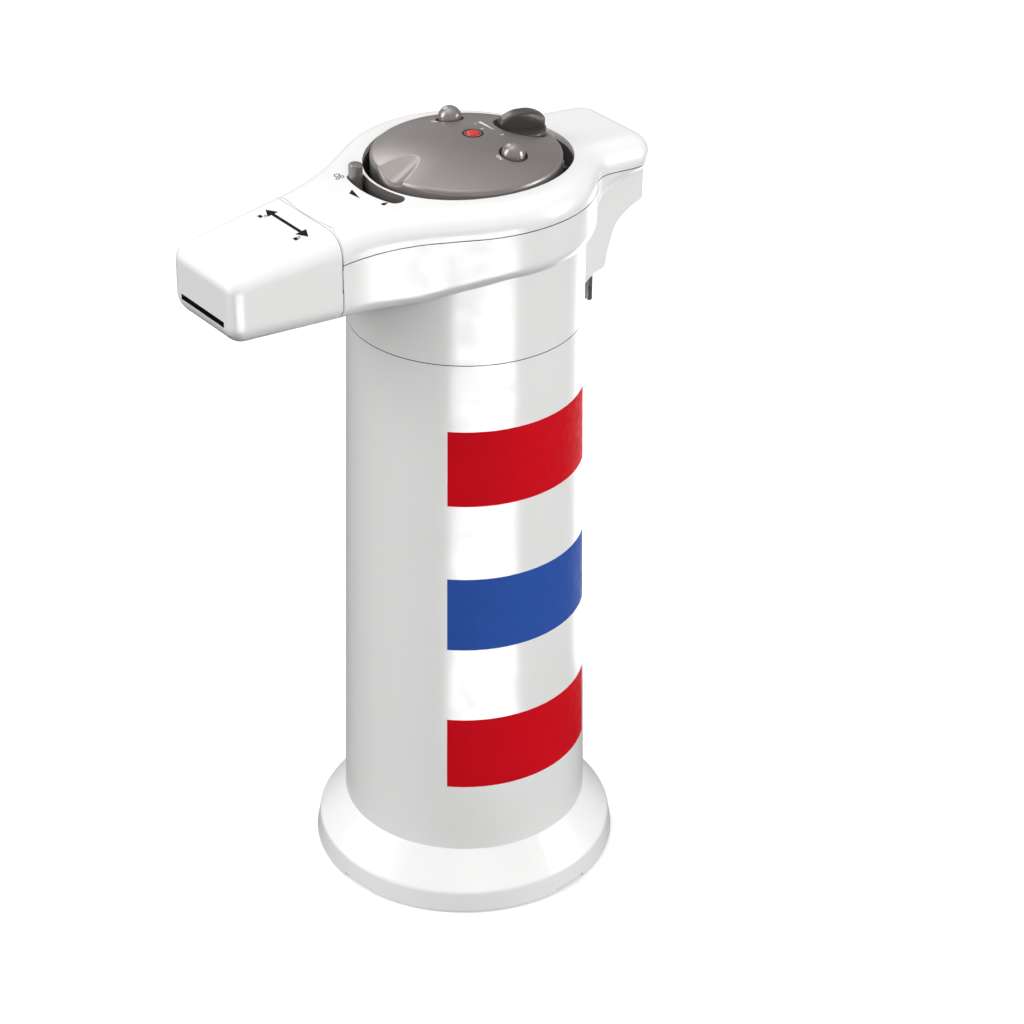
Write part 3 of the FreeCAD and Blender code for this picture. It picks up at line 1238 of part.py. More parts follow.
# The collar closes the spout's back and carries the spigot with two lugs.
plate_back = spout_back + 0.3
plate_front = plate_back + 2.2
inner_half = S.mouth_half - S.spout_wall - 0.5
inner_low = S.belly_front + S.spout_wall + 0.5 - S.spout_axis
inner_high = S.mouth_top - S.spout_wall - 0.9 - S.spout_axis
collar = new_body("collar_plate")
extrude(collar, plate_outline(collar, plate_back, (
    (-inner_half, inner_low, 3.2), (inner_half, inner_low, 3.2),
    (inner_half, inner_high, 4.6), (-inner_half, inner_high, 4.6))), plate_front - plate_back)
spigot_end = spout_back - S.socket_depth
round_plate(collar, spigot_end, [(0, 0)], S.socket_radius, plate_front - spigot_end)
round_plate(collar, spigot_end - 1, [(0, 0)], S.socket_radius - S.socket_wall,
            plate_back - spigot_end + 1, "Pocket")
round_plate(collar, spigot_end - 1, [(0, 0)], 4.6, 20, "Pocket")
lugs = [sector("spigot_lug", S.socket_radius - 0.3, S.socket_radius + 1.2, lug_near, lug_far,
               S.lug_angle, turn - S.lug_angle / 2) for turn in (0, 180)]
keep(aim_forward(fuse([collar] + lugs)), "spout_collar")

# The nozzle spreads the flow from the outlet tube to the slit; a seal ring closes round the tube.
nozzle_back = plate_front + 0.1
nozzle_front = hollow_reach - 0.2
slit_drop = S.slit_level - S.spout_axis


def nozzle_form(name, back, front, round_half, flat_half, flat_height):
    body = new_body(name)
    ends = []
    for reach, half, height, drop in ((back, round_half, round_half, 0),
                                      (front, flat_half, flat_height, slit_drop)):
        sketch = new_sketch(body, "XY_Plane", reach)
        corner = height * 0.9
        draw_polygon(sketch, ((-half, drop - height, corner), (half, drop - height, corner),
                              (half, drop + height, corner), (-half, drop + height, corner)))
        ends.append(sketch)
    loft = body.newObject("PartDesign::AdditiveLoft", name + "_loft")
    loft.Profile = ends[0]
    loft.Sections = [ends[1]]
    loft.Ruled = True
    body.Tip = loft
    return body


nozzle_outer = nozzle_form("nozzle_outer", nozzle_back, nozzle_front, as_size(5.8),
                           S.slit_half - 0.3 + S.nozzle_wall, S.slit_height / 2 - 0.1 + S.nozzle_wall)
nozzle_inner = nozzle_form("nozzle_inner", S.outlet_end + 0.3, nozzle_front + 0.1, as_size(3),
                           S.slit_half - 0.3, S.slit_height / 2 - 0.1)
inlet_bore = cylinder(0, 0, nozzle_back - 1, 4.5, S.outlet_end + 0.4 - nozzle_back + 1)
keep(aim_forward(cut_all(nozzle_outer, [nozzle_inner, inlet_bore])), "spout_nozzle")
body = new_body("spout_seal")
revolve(body, ((S.outlet_radius + 0.05, nozzle_back), (4.4, nozzle_back), (4.4, nozzle_back + 1.8, 0.5),
               (S.outlet_radius + 0.05, nozzle_back + 1.8, 0.5)))
keep(aim_forward(body), "spout_seal")

# ---------------------------------------------------------------- press plate and its controls

lamp_place = (0, S.lamp_back)
ball_places = [(-S.button_spread, S.button_back), (S.button_spread, S.button_back)]
knob_place = (0, S.knob_back)
lens_foot = S.lamp_radius + 0.6
lens_low = S.plate_top - 4.3
lens_step = lens_low + 1
board_top = S.board_level + S.board_thickness
crown_drop = (S.plate_top - S.plate_edge) / (S.plate_radius - S.plate_break)


def dome(name, inset, low):
    """The domed plate's form, or the hollow under it."""
    body = new_body(name)
    radius = S.plate_radius - inset
    top = S.plate_top - inset
    edge = top - (radius - S.plate_break) * crown_drop
    revolve(body, ((0, top), (S.plate_break, top, S.plate_bulge - inset * 7),
                   (radius, edge, S.plate_rounding),
                   (radius, low), (0, low)), axis=(0, S.plate_centre))
    return body


def thumb_bar(radius):
    """A bar lying along the thumb scallop, its lowest line on the scallop's bottom."""
    slope = math.radians(S.thumb_slope.value)
    way = Vector(0, -math.cos(slope), -math.sin(slope))
    lift = Vector(0, -math.sin(slope), math.cos(slope))
    rise = S.thumb_radius
    start_y = -S.thumb_start + rise * lift.y - 30 * way.y
    start_z = S.thumb_height + rise * lift.z - 30 * way.z
    return cylinder(0, start_y, start_z, radius, 60, way)


# The plate: a dome with a recess for the knob, holes for the buttons and the lamp, a scallop for
# the thumb, guides round the buttons and four posts for the board's screws.
board_screw_places = []
for angle in (50, 130, 200, 340):
    board_screw_places += ring(angle, 1, S.board_screw_circle.value)
recess_wall = S.recess_radius + 1.4
hollow = dome("dome_hollow", S.plate_wall, S.plate_skirt - 1)
kept = [cylinder(0, S.knob_back, S.recess_floor - 1.4, recess_wall, 20), thumb_bar(S.thumb_radius + 1.8)]
kept += holes(board_screw_places, board_top + 0.1, 2.7, 20)
kept += holes(ball_places, S.flange_level - 1.6, S.flange_radius + S.move_gap + 1, 20)
kept.append(cylinder(0, S.lamp_back, lens_low, lens_foot + 1.3, 20))
scallop = thumb_bar(S.thumb_radius)
outside = cut(dome("dome_form", as_size(0), S.plate_skirt), scallop)
outside = soften(outside, lambda point: S.thumb_rounding,
                 lambda edge: scallop.Shape.distToShape(Part.Vertex(middle_of(edge)))[0] < 0.01)
plate = cut(outside, cut_all(hollow, [fuse(kept)]))
cuts = [cylinder(0, S.knob_back, S.recess_floor, S.recess_radius, 20),
        cylinder(0, S.knob_back, S.recess_floor - 2, S.spindle_radius + 1.9, 6),
        cylinder(0, S.lamp_back, S.plate_skirt, S.lamp_radius + S.run_gap * 2, 20),
        cylinder(0, S.lamp_back, S.plate_skirt, lens_foot + 0.4, lens_step + S.fit_gap - S.plate_skirt)]
cuts += holes(ball_places, S.plate_skirt, S.ball_hole, 20)
cuts += holes(ball_places, S.plate_skirt, S.flange_radius + S.move_gap,
              S.flange_level + S.flange_thickness + 0.2 - S.plate_skirt)
cuts += holes(board_screw_places, S.plate_skirt, S.small_shank + S.run_gap, 6.4)
keep(cut_all(plate, cuts), "press_plate")

# The frame under the board: pusher over the plunger, spacers and the ears of the hinge.
frame_top = S.frame_level + S.frame_thickness
body = new_body("plate_frame")
round_plate(body, S.frame_level, [(0, 0)], frame_radius, S.frame_thickness)
round_plate(body, frame_top, board_screw_places, 2.7, S.board_level - frame_top)
round_plate(body, S.plunger_top + 0.35, [(0, 0)], S.pusher_radius, S.frame_level - S.plunger_top)
pieces = [body]
for side in (-1, 1):
    low_x = S.hinge_ear_side if side > 0 else -S.hinge_ear_side - S.hinge_thickness
    pieces.append(cylinder(low_x, S.hinge_back, S.hinge_height, S.hinge_ear, S.hinge_thickness,
                           Vector(1, 0, 0)))
    pieces.append(block((low_x, S.hinge_back - S.hinge_ear - 3, S.hinge_height),
                        (S.hinge_thickness, S.hinge_ear * 2 + 3, frame_top - S.hinge_height)))
frame = cut_all(fuse(pieces), [cylinder(-30, S.hinge_back, S.hinge_height,
                                        S.hinge_pin_radius + S.run_gap, 60, Vector(1, 0, 0))])
keep(cut_all(frame, holes(board_screw_places, S.frame_level - 1, S.small_shank + S.fit_gap, 6)),
     "plate_frame")

# The control board with its switches, its potentiometer and the lamp.
body = new_body("control_board")
round_plate(body, S.board_level, [(0, 0)], board_radius, S.board_thickness)
round_plate(body, S.board_level - 0.1, board_screw_places, S.small_shank + S.fit_gap,
            S.board_thickness + 0.2, "Pocket")
keep(body, "control_board")
screws("board_screws", board_screw_places, S.frame_level, True, S.small_head, S.small_shank, 8.6)

switch_top = board_top + 2
body = new_body("push_switches")
for across, back in ball_places:
    extrude(body, plate_outline(body, board_top, (
        (across - 3, back - 3), (across + 3, back - 3), (across + 3, back + 3), (across - 3, back + 3))),
        switch_top - board_top)
round_plate(body, switch_top, ball_places, 1.6, 0.5)
keep(body, "push_switches")

body = new_body("dial_control")
extrude(body, plate_outline(body, board_top, (
    (-5, S.knob_back - 5), (5, S.knob_back - 5), (5, S.knob_back + 5), (-5, S.knob_back + 5))), 1.8)
round_plate(body, board_top + 1.8, [knob_place], 4, 0.6)
round_plate(body, board_top, [knob_place], S.spindle_radius + S.run_gap, 3, "Pocket")
keep(body, "dial_control")

body = new_body("ready_lamp")
round_plate(body, board_top, [lamp_place], 1.9, 4)
fillet(body, 1, lambda edge: middle_of(edge).z > board_top.value + 3.9)
keep(body, "ready_lamp")

body = new_body("lamp_lens")
revolve(body, ((0, lens_low), (lens_foot, lens_low), (lens_foot, lens_step), (S.lamp_radius, lens_step),
               (S.lamp_radius, S.plate_top + 0.5, 1.2), (0, S.plate_top + 0.7)), axis=lamp_place)
keep(body, "lamp_lens")

# Each ball button: ball, stem and flange in one; a coil spring between flange and board.
for node, side in (("off_button", -1), ("on_button", 1)):
    across = S.button_spread * side
    ball = DOC.addObject("Part::Sphere", "ball")
    bind(ball, "Radius", S.ball_radius)
    lift = as_size(0.7 if side < 0 else 0)
    place(ball, across, S.button_back, S.ball_height + lift)
    stem = cylinder(across, S.button_back, S.flange_level, 2.8, S.ball_height - S.flange_level)
    flange = cylinder(across, S.button_back, S.flange_level, S.flange_radius, S.flange_thickness)
    nub = cylinder(across, S.button_back, S.flange_level - 0.4, 1.8, 0.8)
    keep(fuse([ball, stem, flange, nub]), node)
    coil(node[:-6] + "spring", across, S.button_back, board_top + 0.05, S.flange_level - 0.05,
         as_size(4.75), as_size(0.25), 4)

# The knob: a disc with a raised grip, pressed on its spindle.
knob_low = S.recess_floor + 0.4
knob_high = knob_low + S.knob_disc
body = new_body("knob_disc")
revolve(body, ((0, knob_low), (S.knob_radius, knob_low), (S.knob_radius, knob_high, 0.6), (0, knob_high)),
        axis=knob_place)
grip = new_body("knob_grip")
sketch = new_sketch(grip, "XZ_Plane")
grip_rise = S.knob_top - knob_high
draw_polygon(sketch, (
    (-S.grip_half_length, 0), (S.grip_half_length, 0), (S.grip_half_length, grip_rise - 2.6, 2),
    (S.grip_half_length * 0.45, grip_rise, 9), (-S.grip_half_length * 0.45, grip_rise, 9),
    (-S.grip_half_length, grip_rise - 2.6, 2)))
extrude(grip, sketch, S.grip_half * 2, both=True)
fillet(grip, 0.9, lambda edge: abs(abs(middle_of(edge).y) - S.grip_half.value) < 0.01
       and middle_of(edge).z > 0.1)
grip.Placement = Placement(Vector(0, 0, 0), Rotation(Vector(0, 0, 1), S.grip_turn.value))
place(grip, 0, S.knob_back, knob_high - 0.2)
spindle_hole = cylinder(0, S.knob_back, knob_low - 1, S.spindle_radius + S.run_gap, 5.2)
keep(cut(fuse([body, grip]), spindle_hole), "temperature_knob")

body = new_body("dial_spindle")
revolve(body, ((0, board_top + 1), (S.spindle_radius, board_top + 1), (S.spindle_radius, board_top + 2.7),
               (S.spindle_radius + 1.4, board_top + 2.7), (S.spindle_radius + 1.4, knob_low - 0.1),
               (S.spindle_radius, knob_low - 0.1), (S.spindle_radius, knob_low + 4),
               (0, knob_low + 4)), axis=knob_place)
keep(body, "dial_spindle")

# ---------------------------------------------------------------- power inlet

# The housing under the tail follows the neck and the underside; its shelf takes the two rear
# screws of the shells, and its stepped face carries the blades.
housing = new_body("housing_form")
sketch = new_sketch(housing, "YZ_Plane")
back = S.inlet_back
step = S.inlet_step
in_head = S.belly_tail + 3.1
draw_polygon(sketch, (
    (25, in_head), (25, step - 7), (37.6, step - 3.5, 3), (41.5, step - 0.8, 2), (46, step, 2),
    (46.6, step + 5, 6), (50, step + 15, 9), (55.5, step + 18.6, 5), (back, step + 20.4, 2), (back, in_head)))
extrude(housing, sketch, S.inlet_half * 2, both=True)
fillet(housing, 1.2, lambda edge: abs(abs(middle_of(edge).x) - S.inlet_half.value) < 0.01
       and middle_of(edge).y > 36)
hollow = new_body("housing_hollow")
sketch = new_sketch(hollow, "YZ_Plane")
wall = S.inlet_wall
draw_polygon(sketch, (
    (28, in_head + 5), (28, step - 5 + wall), (37.6, step - 3 + wall, 3), (41.5, step - 0.6 + wall, 2),
    (46 - wall, step + wall, 1), (46.6 - wall, step + 6, 6), (49.2 - wall * 0.8, step + 16 + wall, 9),
    (55 - wall * 0.5, step + 18.8 + wall, 4), (back - wall, step + 20.2 + wall, 1),
    (back - wall, in_head + 5)))
extrude(hollow, sketch, S.inlet_half * 2 - wall * 2, both=True)
shelf_low = S.post_seat
shelf = block((-S.inlet_half + 1, 49, shelf_low), (S.inlet_half * 2 - 2, back - 50, S.inlet_shelf))
clear_neck = cylinder(0, 0, S.adapter_bottom - 3, S.tube_top_radius + S.fit_gap, 60)
housing = fuse([cut(housing, hollow), common(shelf, housing)])
blade_holes = []
for side in (-1, 1):
    blade_holes.append(block(
        (S.blade_spread * side - S.blade_width / 2 - S.run_gap,
         S.blade_back - S.blade_thickness / 2 - S.run_gap, S.blade_bottom - 2),
        (S.blade_width + S.run_gap * 2, S.blade_thickness + S.run_gap * 2, 25)))
lowered = DOC.addObject("Part::Compound", "lowered_form")
lowered.Links = [outer_form]
place(lowered, 0, 0, -S.fit_gap)
housing = cut_all(housing, [clear_neck, lowered] + blade_holes
                  + holes(tail_posts, S.post_seat - 2.4, S.small_shank + S.fit_gap, 8))
keep(housing, "inlet_housing")

body = new_body("inlet_blades")
for side in (-1, 1):
    across = S.blade_spread * side
    extrude(body, plate_outline(body, S.blade_bottom, (
        (across - S.blade_width / 2, S.blade_back - S.blade_thickness / 2),
        (across + S.blade_width / 2, S.blade_back - S.blade_thickness / 2),
        (across + S.blade_width / 2, S.blade_back + S.blade_thickness / 2),
        (across - S.blade_width / 2, S.blade_back + S.blade_thickness / 2))),
        S.blade_top - S.blade_bottom)
fillet(body, 0.5, lambda edge: abs(middle_of(edge).z - S.blade_bottom.value) < 0.01
       and edge.BoundBox.XLength > 2)
keep(body, "inlet_blades")


# ---------------------------------------------------------------- writing the sub-parts

DOC.recompute()
for thing in DOC.Objects:
    for word in ("Invalid", "Error"):
        if word in thing.State:
            raise ValueError("%s is in the state %s" % (thing.Label, thing.State))

os.makedirs("parts", exist_ok=True)
for node, thing in NODES:
    if thing.Label != node or thing.Shape.isNull() or not thing.Shape.isValid():
        raise ValueError("%s is not a sound piece" % node)
    thing.Shape.exportStep("parts/%s.step" % node)
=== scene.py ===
import math

import bmesh
import bpy
from mathutils import Matrix, Vector
from mathutils.bvhtree import BVHTree


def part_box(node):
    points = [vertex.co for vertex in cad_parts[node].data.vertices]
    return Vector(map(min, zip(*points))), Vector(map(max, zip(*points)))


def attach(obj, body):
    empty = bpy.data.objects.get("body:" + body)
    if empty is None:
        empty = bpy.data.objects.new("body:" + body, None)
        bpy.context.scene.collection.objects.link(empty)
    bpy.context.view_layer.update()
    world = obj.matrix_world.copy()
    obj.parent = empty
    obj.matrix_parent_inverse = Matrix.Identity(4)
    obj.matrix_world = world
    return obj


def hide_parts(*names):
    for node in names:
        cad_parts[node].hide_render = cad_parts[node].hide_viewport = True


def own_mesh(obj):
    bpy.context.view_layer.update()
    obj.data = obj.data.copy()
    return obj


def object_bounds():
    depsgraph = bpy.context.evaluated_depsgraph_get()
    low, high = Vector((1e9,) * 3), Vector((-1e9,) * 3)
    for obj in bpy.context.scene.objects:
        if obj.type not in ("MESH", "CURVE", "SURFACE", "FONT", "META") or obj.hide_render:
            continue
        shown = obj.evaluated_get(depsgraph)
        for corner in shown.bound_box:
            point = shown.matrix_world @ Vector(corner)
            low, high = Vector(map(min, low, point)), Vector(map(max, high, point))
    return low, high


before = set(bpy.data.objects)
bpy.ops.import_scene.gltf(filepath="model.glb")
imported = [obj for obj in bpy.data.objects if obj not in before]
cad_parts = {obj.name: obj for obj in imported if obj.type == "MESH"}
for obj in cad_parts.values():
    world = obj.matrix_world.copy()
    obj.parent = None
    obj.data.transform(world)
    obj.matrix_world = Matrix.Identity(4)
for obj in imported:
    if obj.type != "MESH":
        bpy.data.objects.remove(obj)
cad_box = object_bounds()
mm = 0.001


# ---------------------------------------------------------------------------------------------
# Foot and tube. The foot is a broad ring that keeps the tall machine steady, the tube a tapered
# barrel that hides the aerosol can. Both are injection moulded in glossy white ABS; the tube is
# pushed down into the foot and held by the floor's screws from below.
# ---------------------------------------------------------------------------------------------
class Finish:
    """A surface finish under way: a shader and the textures that vary it, in the piece's own space."""

    dark_level, light_level = 0.3, 0.7

    def __init__(self, name, **fixed):
        self.material = bpy.data.materials.new(name)
        self.material.use_nodes = True
        self.tree = self.material.node_tree
        self.shader = self.tree.nodes["Principled BSDF"]
        for socket, value in fixed.items():
            self.shader.inputs[socket.replace("_", " ")].default_value = value
        self.space = self.tree.nodes.new("ShaderNodeTexCoord").outputs["Object"]
        self.bump = None

    def node(self, kind, **inputs):
        """Adds a texture or maths node and joins or sets its inputs."""
        node = self.tree.nodes.new("ShaderNode" + kind)
        for socket, value in inputs.items():
            target = node.inputs[socket.replace("_", " ")]
            if isinstance(value, bpy.types.NodeSocket):
                self.tree.links.new(value, target)
            else:
                target.default_value = value
        return node

    def cloud(self, size, detail=3.0, stretch=(1.0, 1.0, 1.0)):
        """Soft random patches about `size` metres across, drawn out along the axes by `stretch`."""
        place = self.node("Mapping", Vector=self.space, Scale=[1.0 / pull for pull in stretch])
        return self.node("TexNoise", Vector=place.outputs[0], Scale=0.5 / size, Detail=detail).outputs[0]

    def between(self, pattern, low, high):
        """The pattern's dark and light parts, turned into numbers from low to high."""
        spread = self.node("MapRange", Value=pattern, From_Min=self.dark_level, From_Max=self.light_level,
                           To_Min=low, To_Max=high)
        return spread.outputs[0]

    def colours(self, pattern, dark, light):
        """The pattern coloured from dark to light, as the piece's own colour."""
        ramp = self.tree.nodes.new("ShaderNodeValToRGB")
        first, last = ramp.color_ramp.elements
        first.position, last.position = self.dark_level, self.light_level
        first.color, last.color = (*dark, 1.0), (*light, 1.0)
        self.tree.links.new(pattern, ramp.inputs[0])
        self.tree.links.new(ramp.outputs[0], self.shader.inputs["Base Color"])

    def gloss(self, pattern, low, high):
        """Roughness that wanders from low to high with the pattern."""
        self.tree.links.new(self.between(pattern, low, high), self.shader.inputs["Roughness"])

    def relief(self, pattern, height):
        """Raises the surface by up to `height` metres where the pattern is light."""
        step = self.node("Bump", Height=pattern, Distance=height, Strength=1.0)
        if self.bump:
            self.tree.links.new(self.bump, step.inputs["Normal"])
        self.bump = step.outputs[0]
        self.tree.links.new(self.bump, self.shader.inputs["Normal"])


def shade(colour, factor):
    """A colour made darker or lighter by a factor."""
    return tuple(min(1.0, part * factor) for part in colour)


def moulded(name, colour, gloss, peel=4e-6, mottle=0.02, grain=0.0, flake=0.0):
    """Injection-moulded plastic: faint flow clouds, an orange-peel skin and, if asked, spark grain
    or a share of metal flake in the colour."""
    plastic = Finish(name, IOR=1.5, Metallic=flake)
    flow = plastic.cloud(18 * mm)
    plastic.colours(flow, shade(colour, 1 - mottle), shade(colour, 1 + mottle))
    polish = plastic.cloud(3 * mm)
    plastic.gloss(polish, gloss * 0.88, gloss * 1.12)
    ripple = plastic.cloud(1.6 * mm, detail=1.0)
    plastic.relief(ripple, peel)
    if grain:
        plastic.relief(plastic.cloud(0.16 * mm, detail=2.0), grain)
    return plastic.material


def finished(material, *names):
    """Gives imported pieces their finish."""
    for name in names:
        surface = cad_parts[name].data
        surface.materials.clear()
        surface.materials.append(material)


white_colour = (0.83, 0.83, 0.825)
white_abs = moulded("glossy_white_abs", white_colour, gloss=0.32, peel=1.2e-6, mottle=0.004)
polished_skin = white_abs.node_tree.nodes["Principled BSDF"].inputs
polished_skin["Coat Weight"].default_value = 0.28
polished_skin["Coat Roughness"].default_value = 0.29
finished(white_abs, "base_foot", "can_tube")


# ---------------------------------------------------------------------------------------------
# Barber stripes. Three films of screen-printed ink lie on the right side of the tube, red, blue
# and red, each a plain rectangle wrapped round the barrel. The ink is a few hundredths of a
# millimetre thick, evenly opaque and duller than the plastic under it.
# ---------------------------------------------------------------------------------------------
ink_lift = 0.05 * mm
ink_depth = 0.09 * mm


def printing_ink(name, colour, gloss=0.62):
    """Screen-printed ink: flat colour with the faint weave of the screen and small gloss changes."""
    ink = Finish(name, IOR=1.48, Specular_IOR_Level=0.12)
    ink.colours(ink.cloud(5 * mm), shade(colour, 0.97), shade(colour, 1.03))
    ink.gloss(ink.cloud(1.2 * mm), gloss * 0.85, gloss * 1.15)
    weave = ink.cloud(0.35 * mm, detail=1.0)
    ink.relief(weave, 1.5e-6)
    return ink.material


def skin_of(*names):
    """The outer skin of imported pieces, for printing to be laid on."""
    surface = bmesh.new()
    for name in names:
        surface.from_mesh(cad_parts[name].data)
    skin = BVHTree.FromBMesh(surface)
    surface.free()
    return skin


def printed(name, body, skin, drawing, aim, ink):
    """Lays a flat drawing on a skin: each point goes along aim(point) and stops just above it."""
    for corner in drawing.verts:
        direction = aim(corner.co)
        spot, normal, _, _ = skin.ray_cast(corner.co, direction)
        if normal.dot(direction) > 0:
            normal = -normal
        corner.co = spot + normal * ink_lift
    bmesh.ops.recalc_face_normals(drawing, faces=drawing.faces)
    one_face = drawing.faces[:][0]
    if one_face.normal.dot(aim(one_face.calc_center_median())) > 0:
        bmesh.ops.reverse_faces(drawing, faces=drawing.faces)
    for edge in drawing.edges:
        edge.smooth = not edge.is_boundary
    mesh = bpy.data.meshes.new(name)
    drawing.to_mesh(mesh)
    drawing.free()
    for face in mesh.polygons:
        face.use_smooth = True
    mesh.materials.append(ink)
    film = bpy.data.objects.new(name, mesh)
    bpy.context.scene.collection.objects.link(film)
    thick = film.modifiers.new("film", "SOLIDIFY")
    thick.thickness = ink_depth
    thick.offset = -1.0
    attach(film, body)


def grid_of(columns, rows, point):
    """A sheet of columns x rows squares; point(across, along) gives a corner, both from 0 to 1."""
    sheet = bmesh.new()
    corners = [[sheet.verts.new(point(i / columns, j / rows)) for i in range(columns + 1)]
               for j in range(rows + 1)]
    for j in range(rows):
        for i in range(columns):
            sheet.faces.new((corners[j][i], corners[j][i + 1], corners[j + 1][i + 1], corners[j + 1][i]))
    return sheet


def around(angle, radius, height):
    """A point at an angle from the spout's side (-Y) towards +X, in degrees."""
    turn = math.radians(angle)
    return Vector((radius * math.sin(turn), -radius * math.cos(turn), height))


def inwards(point):
    """Level direction from a point to the tube's axis."""
    return Vector((-point.x, -point.y, 0)).normalized()


tube_radius, _, tube_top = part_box("can_tube")[1]
tube_skin = skin_of("can_tube")
stripe_side = 89.0
stripe_length = 61.2 * mm
stripe_height = 26.8 * mm
stripe_middles = (166.25 * mm, 112.45 * mm, 58.3 * mm)
barrel_radius = tube_radius * 0.965
half_stripe = math.degrees(stripe_length / 2 / barrel_radius)
clear_radius = tube_radius * 1.3
barber_red = printing_ink("barber_red_ink", (0.60, 0.002, 0.010))
barber_blue = printing_ink("barber_blue_ink", (0.026, 0.085, 0.37))
for number, (middle, ink) in enumerate(zip(stripe_middles, (barber_red, barber_blue, barber_red)), 1):
    stripe = grid_of(60, 6, lambda across, along: around(
        stripe_side + half_stripe * (2 * across - 1), clear_radius, middle + stripe_height * (along - 0.5)))
    printed(f"stripe_{number}", "base", tube_skin, stripe, inwards, ink)


# ---------------------------------------------------------------------------------------------
# Underside and inside of the tube. A die-cut rubber mat sits under a screwed white cover; inside
# are the floor disc with its centring ring, a foam rest for the can, and the collar with the
# bayonet slots. The plain inner mouldings are the same plastic as outside, without the polish.
# ---------------------------------------------------------------------------------------------
def rubber(name, colour, gloss=0.62):
    """Moulded rubber: dull, slightly dusty, with a fine pebbled skin."""
    gum = Finish(name, IOR=1.45)
    gum.colours(gum.cloud(4 * mm), shade(colour, 0.85), shade(colour, 1.2))
    gum.gloss(gum.cloud(1 * mm), gloss * 0.9, gloss * 1.15)
    pebbles = gum.cloud(0.5 * mm, detail=4.0)
    gum.relief(pebbles, 30e-6)
    return gum.material


def closed_foam(name, colour, cell=0.9 * mm):
    """Closed-cell foam: small round cells with raised rims, coloured lighter in their middles and darker
    towards their rims as painted light and shade.
    """
    foam = Finish(name)
    cells = foam.node("TexVoronoi", Vector=foam.space, Scale=1 / cell).outputs[0]
    # Painted light and shade: each cell lighter in its middle and darker towards its rim.
    foam.colours(cells, shade(colour, 1.2), shade(colour, 0.7))
    foam.gloss(foam.cloud(2 * mm), 0.75, 0.95)
    foam.relief(cells, 0.12 * mm)
    return foam.material


def turned_steel(name, colour, gloss, stretch):
    """Bright metal with fine tool or drawing marks that run along the stretched axis."""
    metal = Finish(name, Metallic=1.0)
    marks = metal.cloud(0.12 * mm, detail=4.0, stretch=stretch)
    metal.colours(metal.cloud(6 * mm), shade(colour, 0.93), shade(colour, 1.05))
    metal.gloss(marks, gloss * 0.75, gloss * 1.3)
    metal.relief(marks, 4e-6)
    return metal.material


inner_white = moulded("plain_white_abs", (0.74, 0.74, 0.725), gloss=0.42, grain=3e-6)
bright_steel = turned_steel("bright_zinc_steel", (0.62, 0.62, 0.63), 0.28, stretch=(8, 8, 1))
finished(inner_white, "can_floor", "base_cover", "bayonet_collar")
finished(bright_steel, "base_screws")
finished(rubber("black_mat_rubber", (0.028, 0.028, 0.03)), "nonslip_mat")
finished(closed_foam("grey_can_foam", (0.22, 0.23, 0.25)), "can_rest")


# ---------------------------------------------------------------------------------------------
# Head shells. A lower and an upper shell, moulded in the tube's glossy white, close round the
# works with four screws driven up from below. Their arched parting and the joints with tube and
# spout are drawn as thin black lines of painted shadow, standing for the shade in the narrow gaps;
# the lever's slot is lined in dark grey.
# ---------------------------------------------------------------------------------------------
finished(white_abs, "lower_shell", "upper_shell")
finished(bright_steel, "shell_screws", "liner_screws")

warm_grey = (0.27, 0.245, 0.236)
slot_grey = moulded("slot_lining_grey", shade(warm_grey, 0.5), gloss=0.42, grain=2e-6)
slot_inner, slot_outer = 33 * mm, 39.2 * mm
slot_first, slot_last = -20, 23

# Painted shadow: a black finish for the parting faces and for thin films along the joints, where the narrow
# gaps would be in shade.
seam_shadow = moulded("seam_shadow", (0.006, 0.006, 0.006), gloss=0.9)
seam_width = 0.7 * mm
seam_points = 120
parting_crown = 247.9 * mm
parting_radius = 448 * mm
parting_half = 0.35 * mm


def painted(name, material, chosen):
    """Gives a piece's own faces that a test chooses another finish."""
    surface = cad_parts[name].data
    surface.materials.append(material)
    for face in surface.polygons:
        if chosen(face.center, face.normal):
            face.material_index = len(surface.materials) - 1


def in_slot(spot, normal):
    """Upright faces in the lever's arc slot, between two radii and two angles from the spout."""
    turn = math.degrees(math.atan2(spot.x, -spot.y))
    from_axis = math.hypot(spot.x, spot.y)
    return slot_inner < from_axis < slot_outer and slot_first < turn < slot_last and abs(normal.z) < 0.5


def in_parting(spot, normal):
    """Faces in the seam between the shells, which follows a wide arch along the head."""
    arch = parting_crown - (parting_radius - math.sqrt(parting_radius ** 2 - spot.y ** 2))
    return abs(spot.z - arch) < parting_half and abs(normal.z) > 0.8


painted("upper_shell", slot_grey, in_slot)
# The faces in the parting between the shells get the painted shadow.
painted("upper_shell", seam_shadow, in_parting)
painted("lower_shell", seam_shadow, in_parting)

black_ink = printing_ink("black_mark_ink", (0.006, 0.006, 0.007))
above = cad_box[1].z + 5 * mm
sign_line = 0.26 * mm


def straight_down(point):
    """The way a drawing above the machine goes to meet it, the same at every point."""
    return Vector((0, 0, -1))


def flat_shape(corners, rounds=0):
    """One outline filled flat above the machine, cut finer by `rounds`; corners are (x, y)."""
    drawing = bmesh.new()
    drawing.faces.new([drawing.verts.new((x, y, above)) for x, y in corners])
    bmesh.ops.triangulate(drawing, faces=drawing.faces)
    if rounds:
        bmesh.ops.subdivide_edges(drawing, edges=drawing.edges, cuts=rounds, use_grid_fill=True)
    return drawing


def loop(middle, radius, points=20, first=0, last=360):
    """Points on a circle or on part of one."""
    x, y = middle
    angles = [math.radians(first + (last - first) * k / points) for k in range(points + 1)]
    return [(x + radius * math.cos(angle), y + radius * math.sin(angle)) for angle in angles]


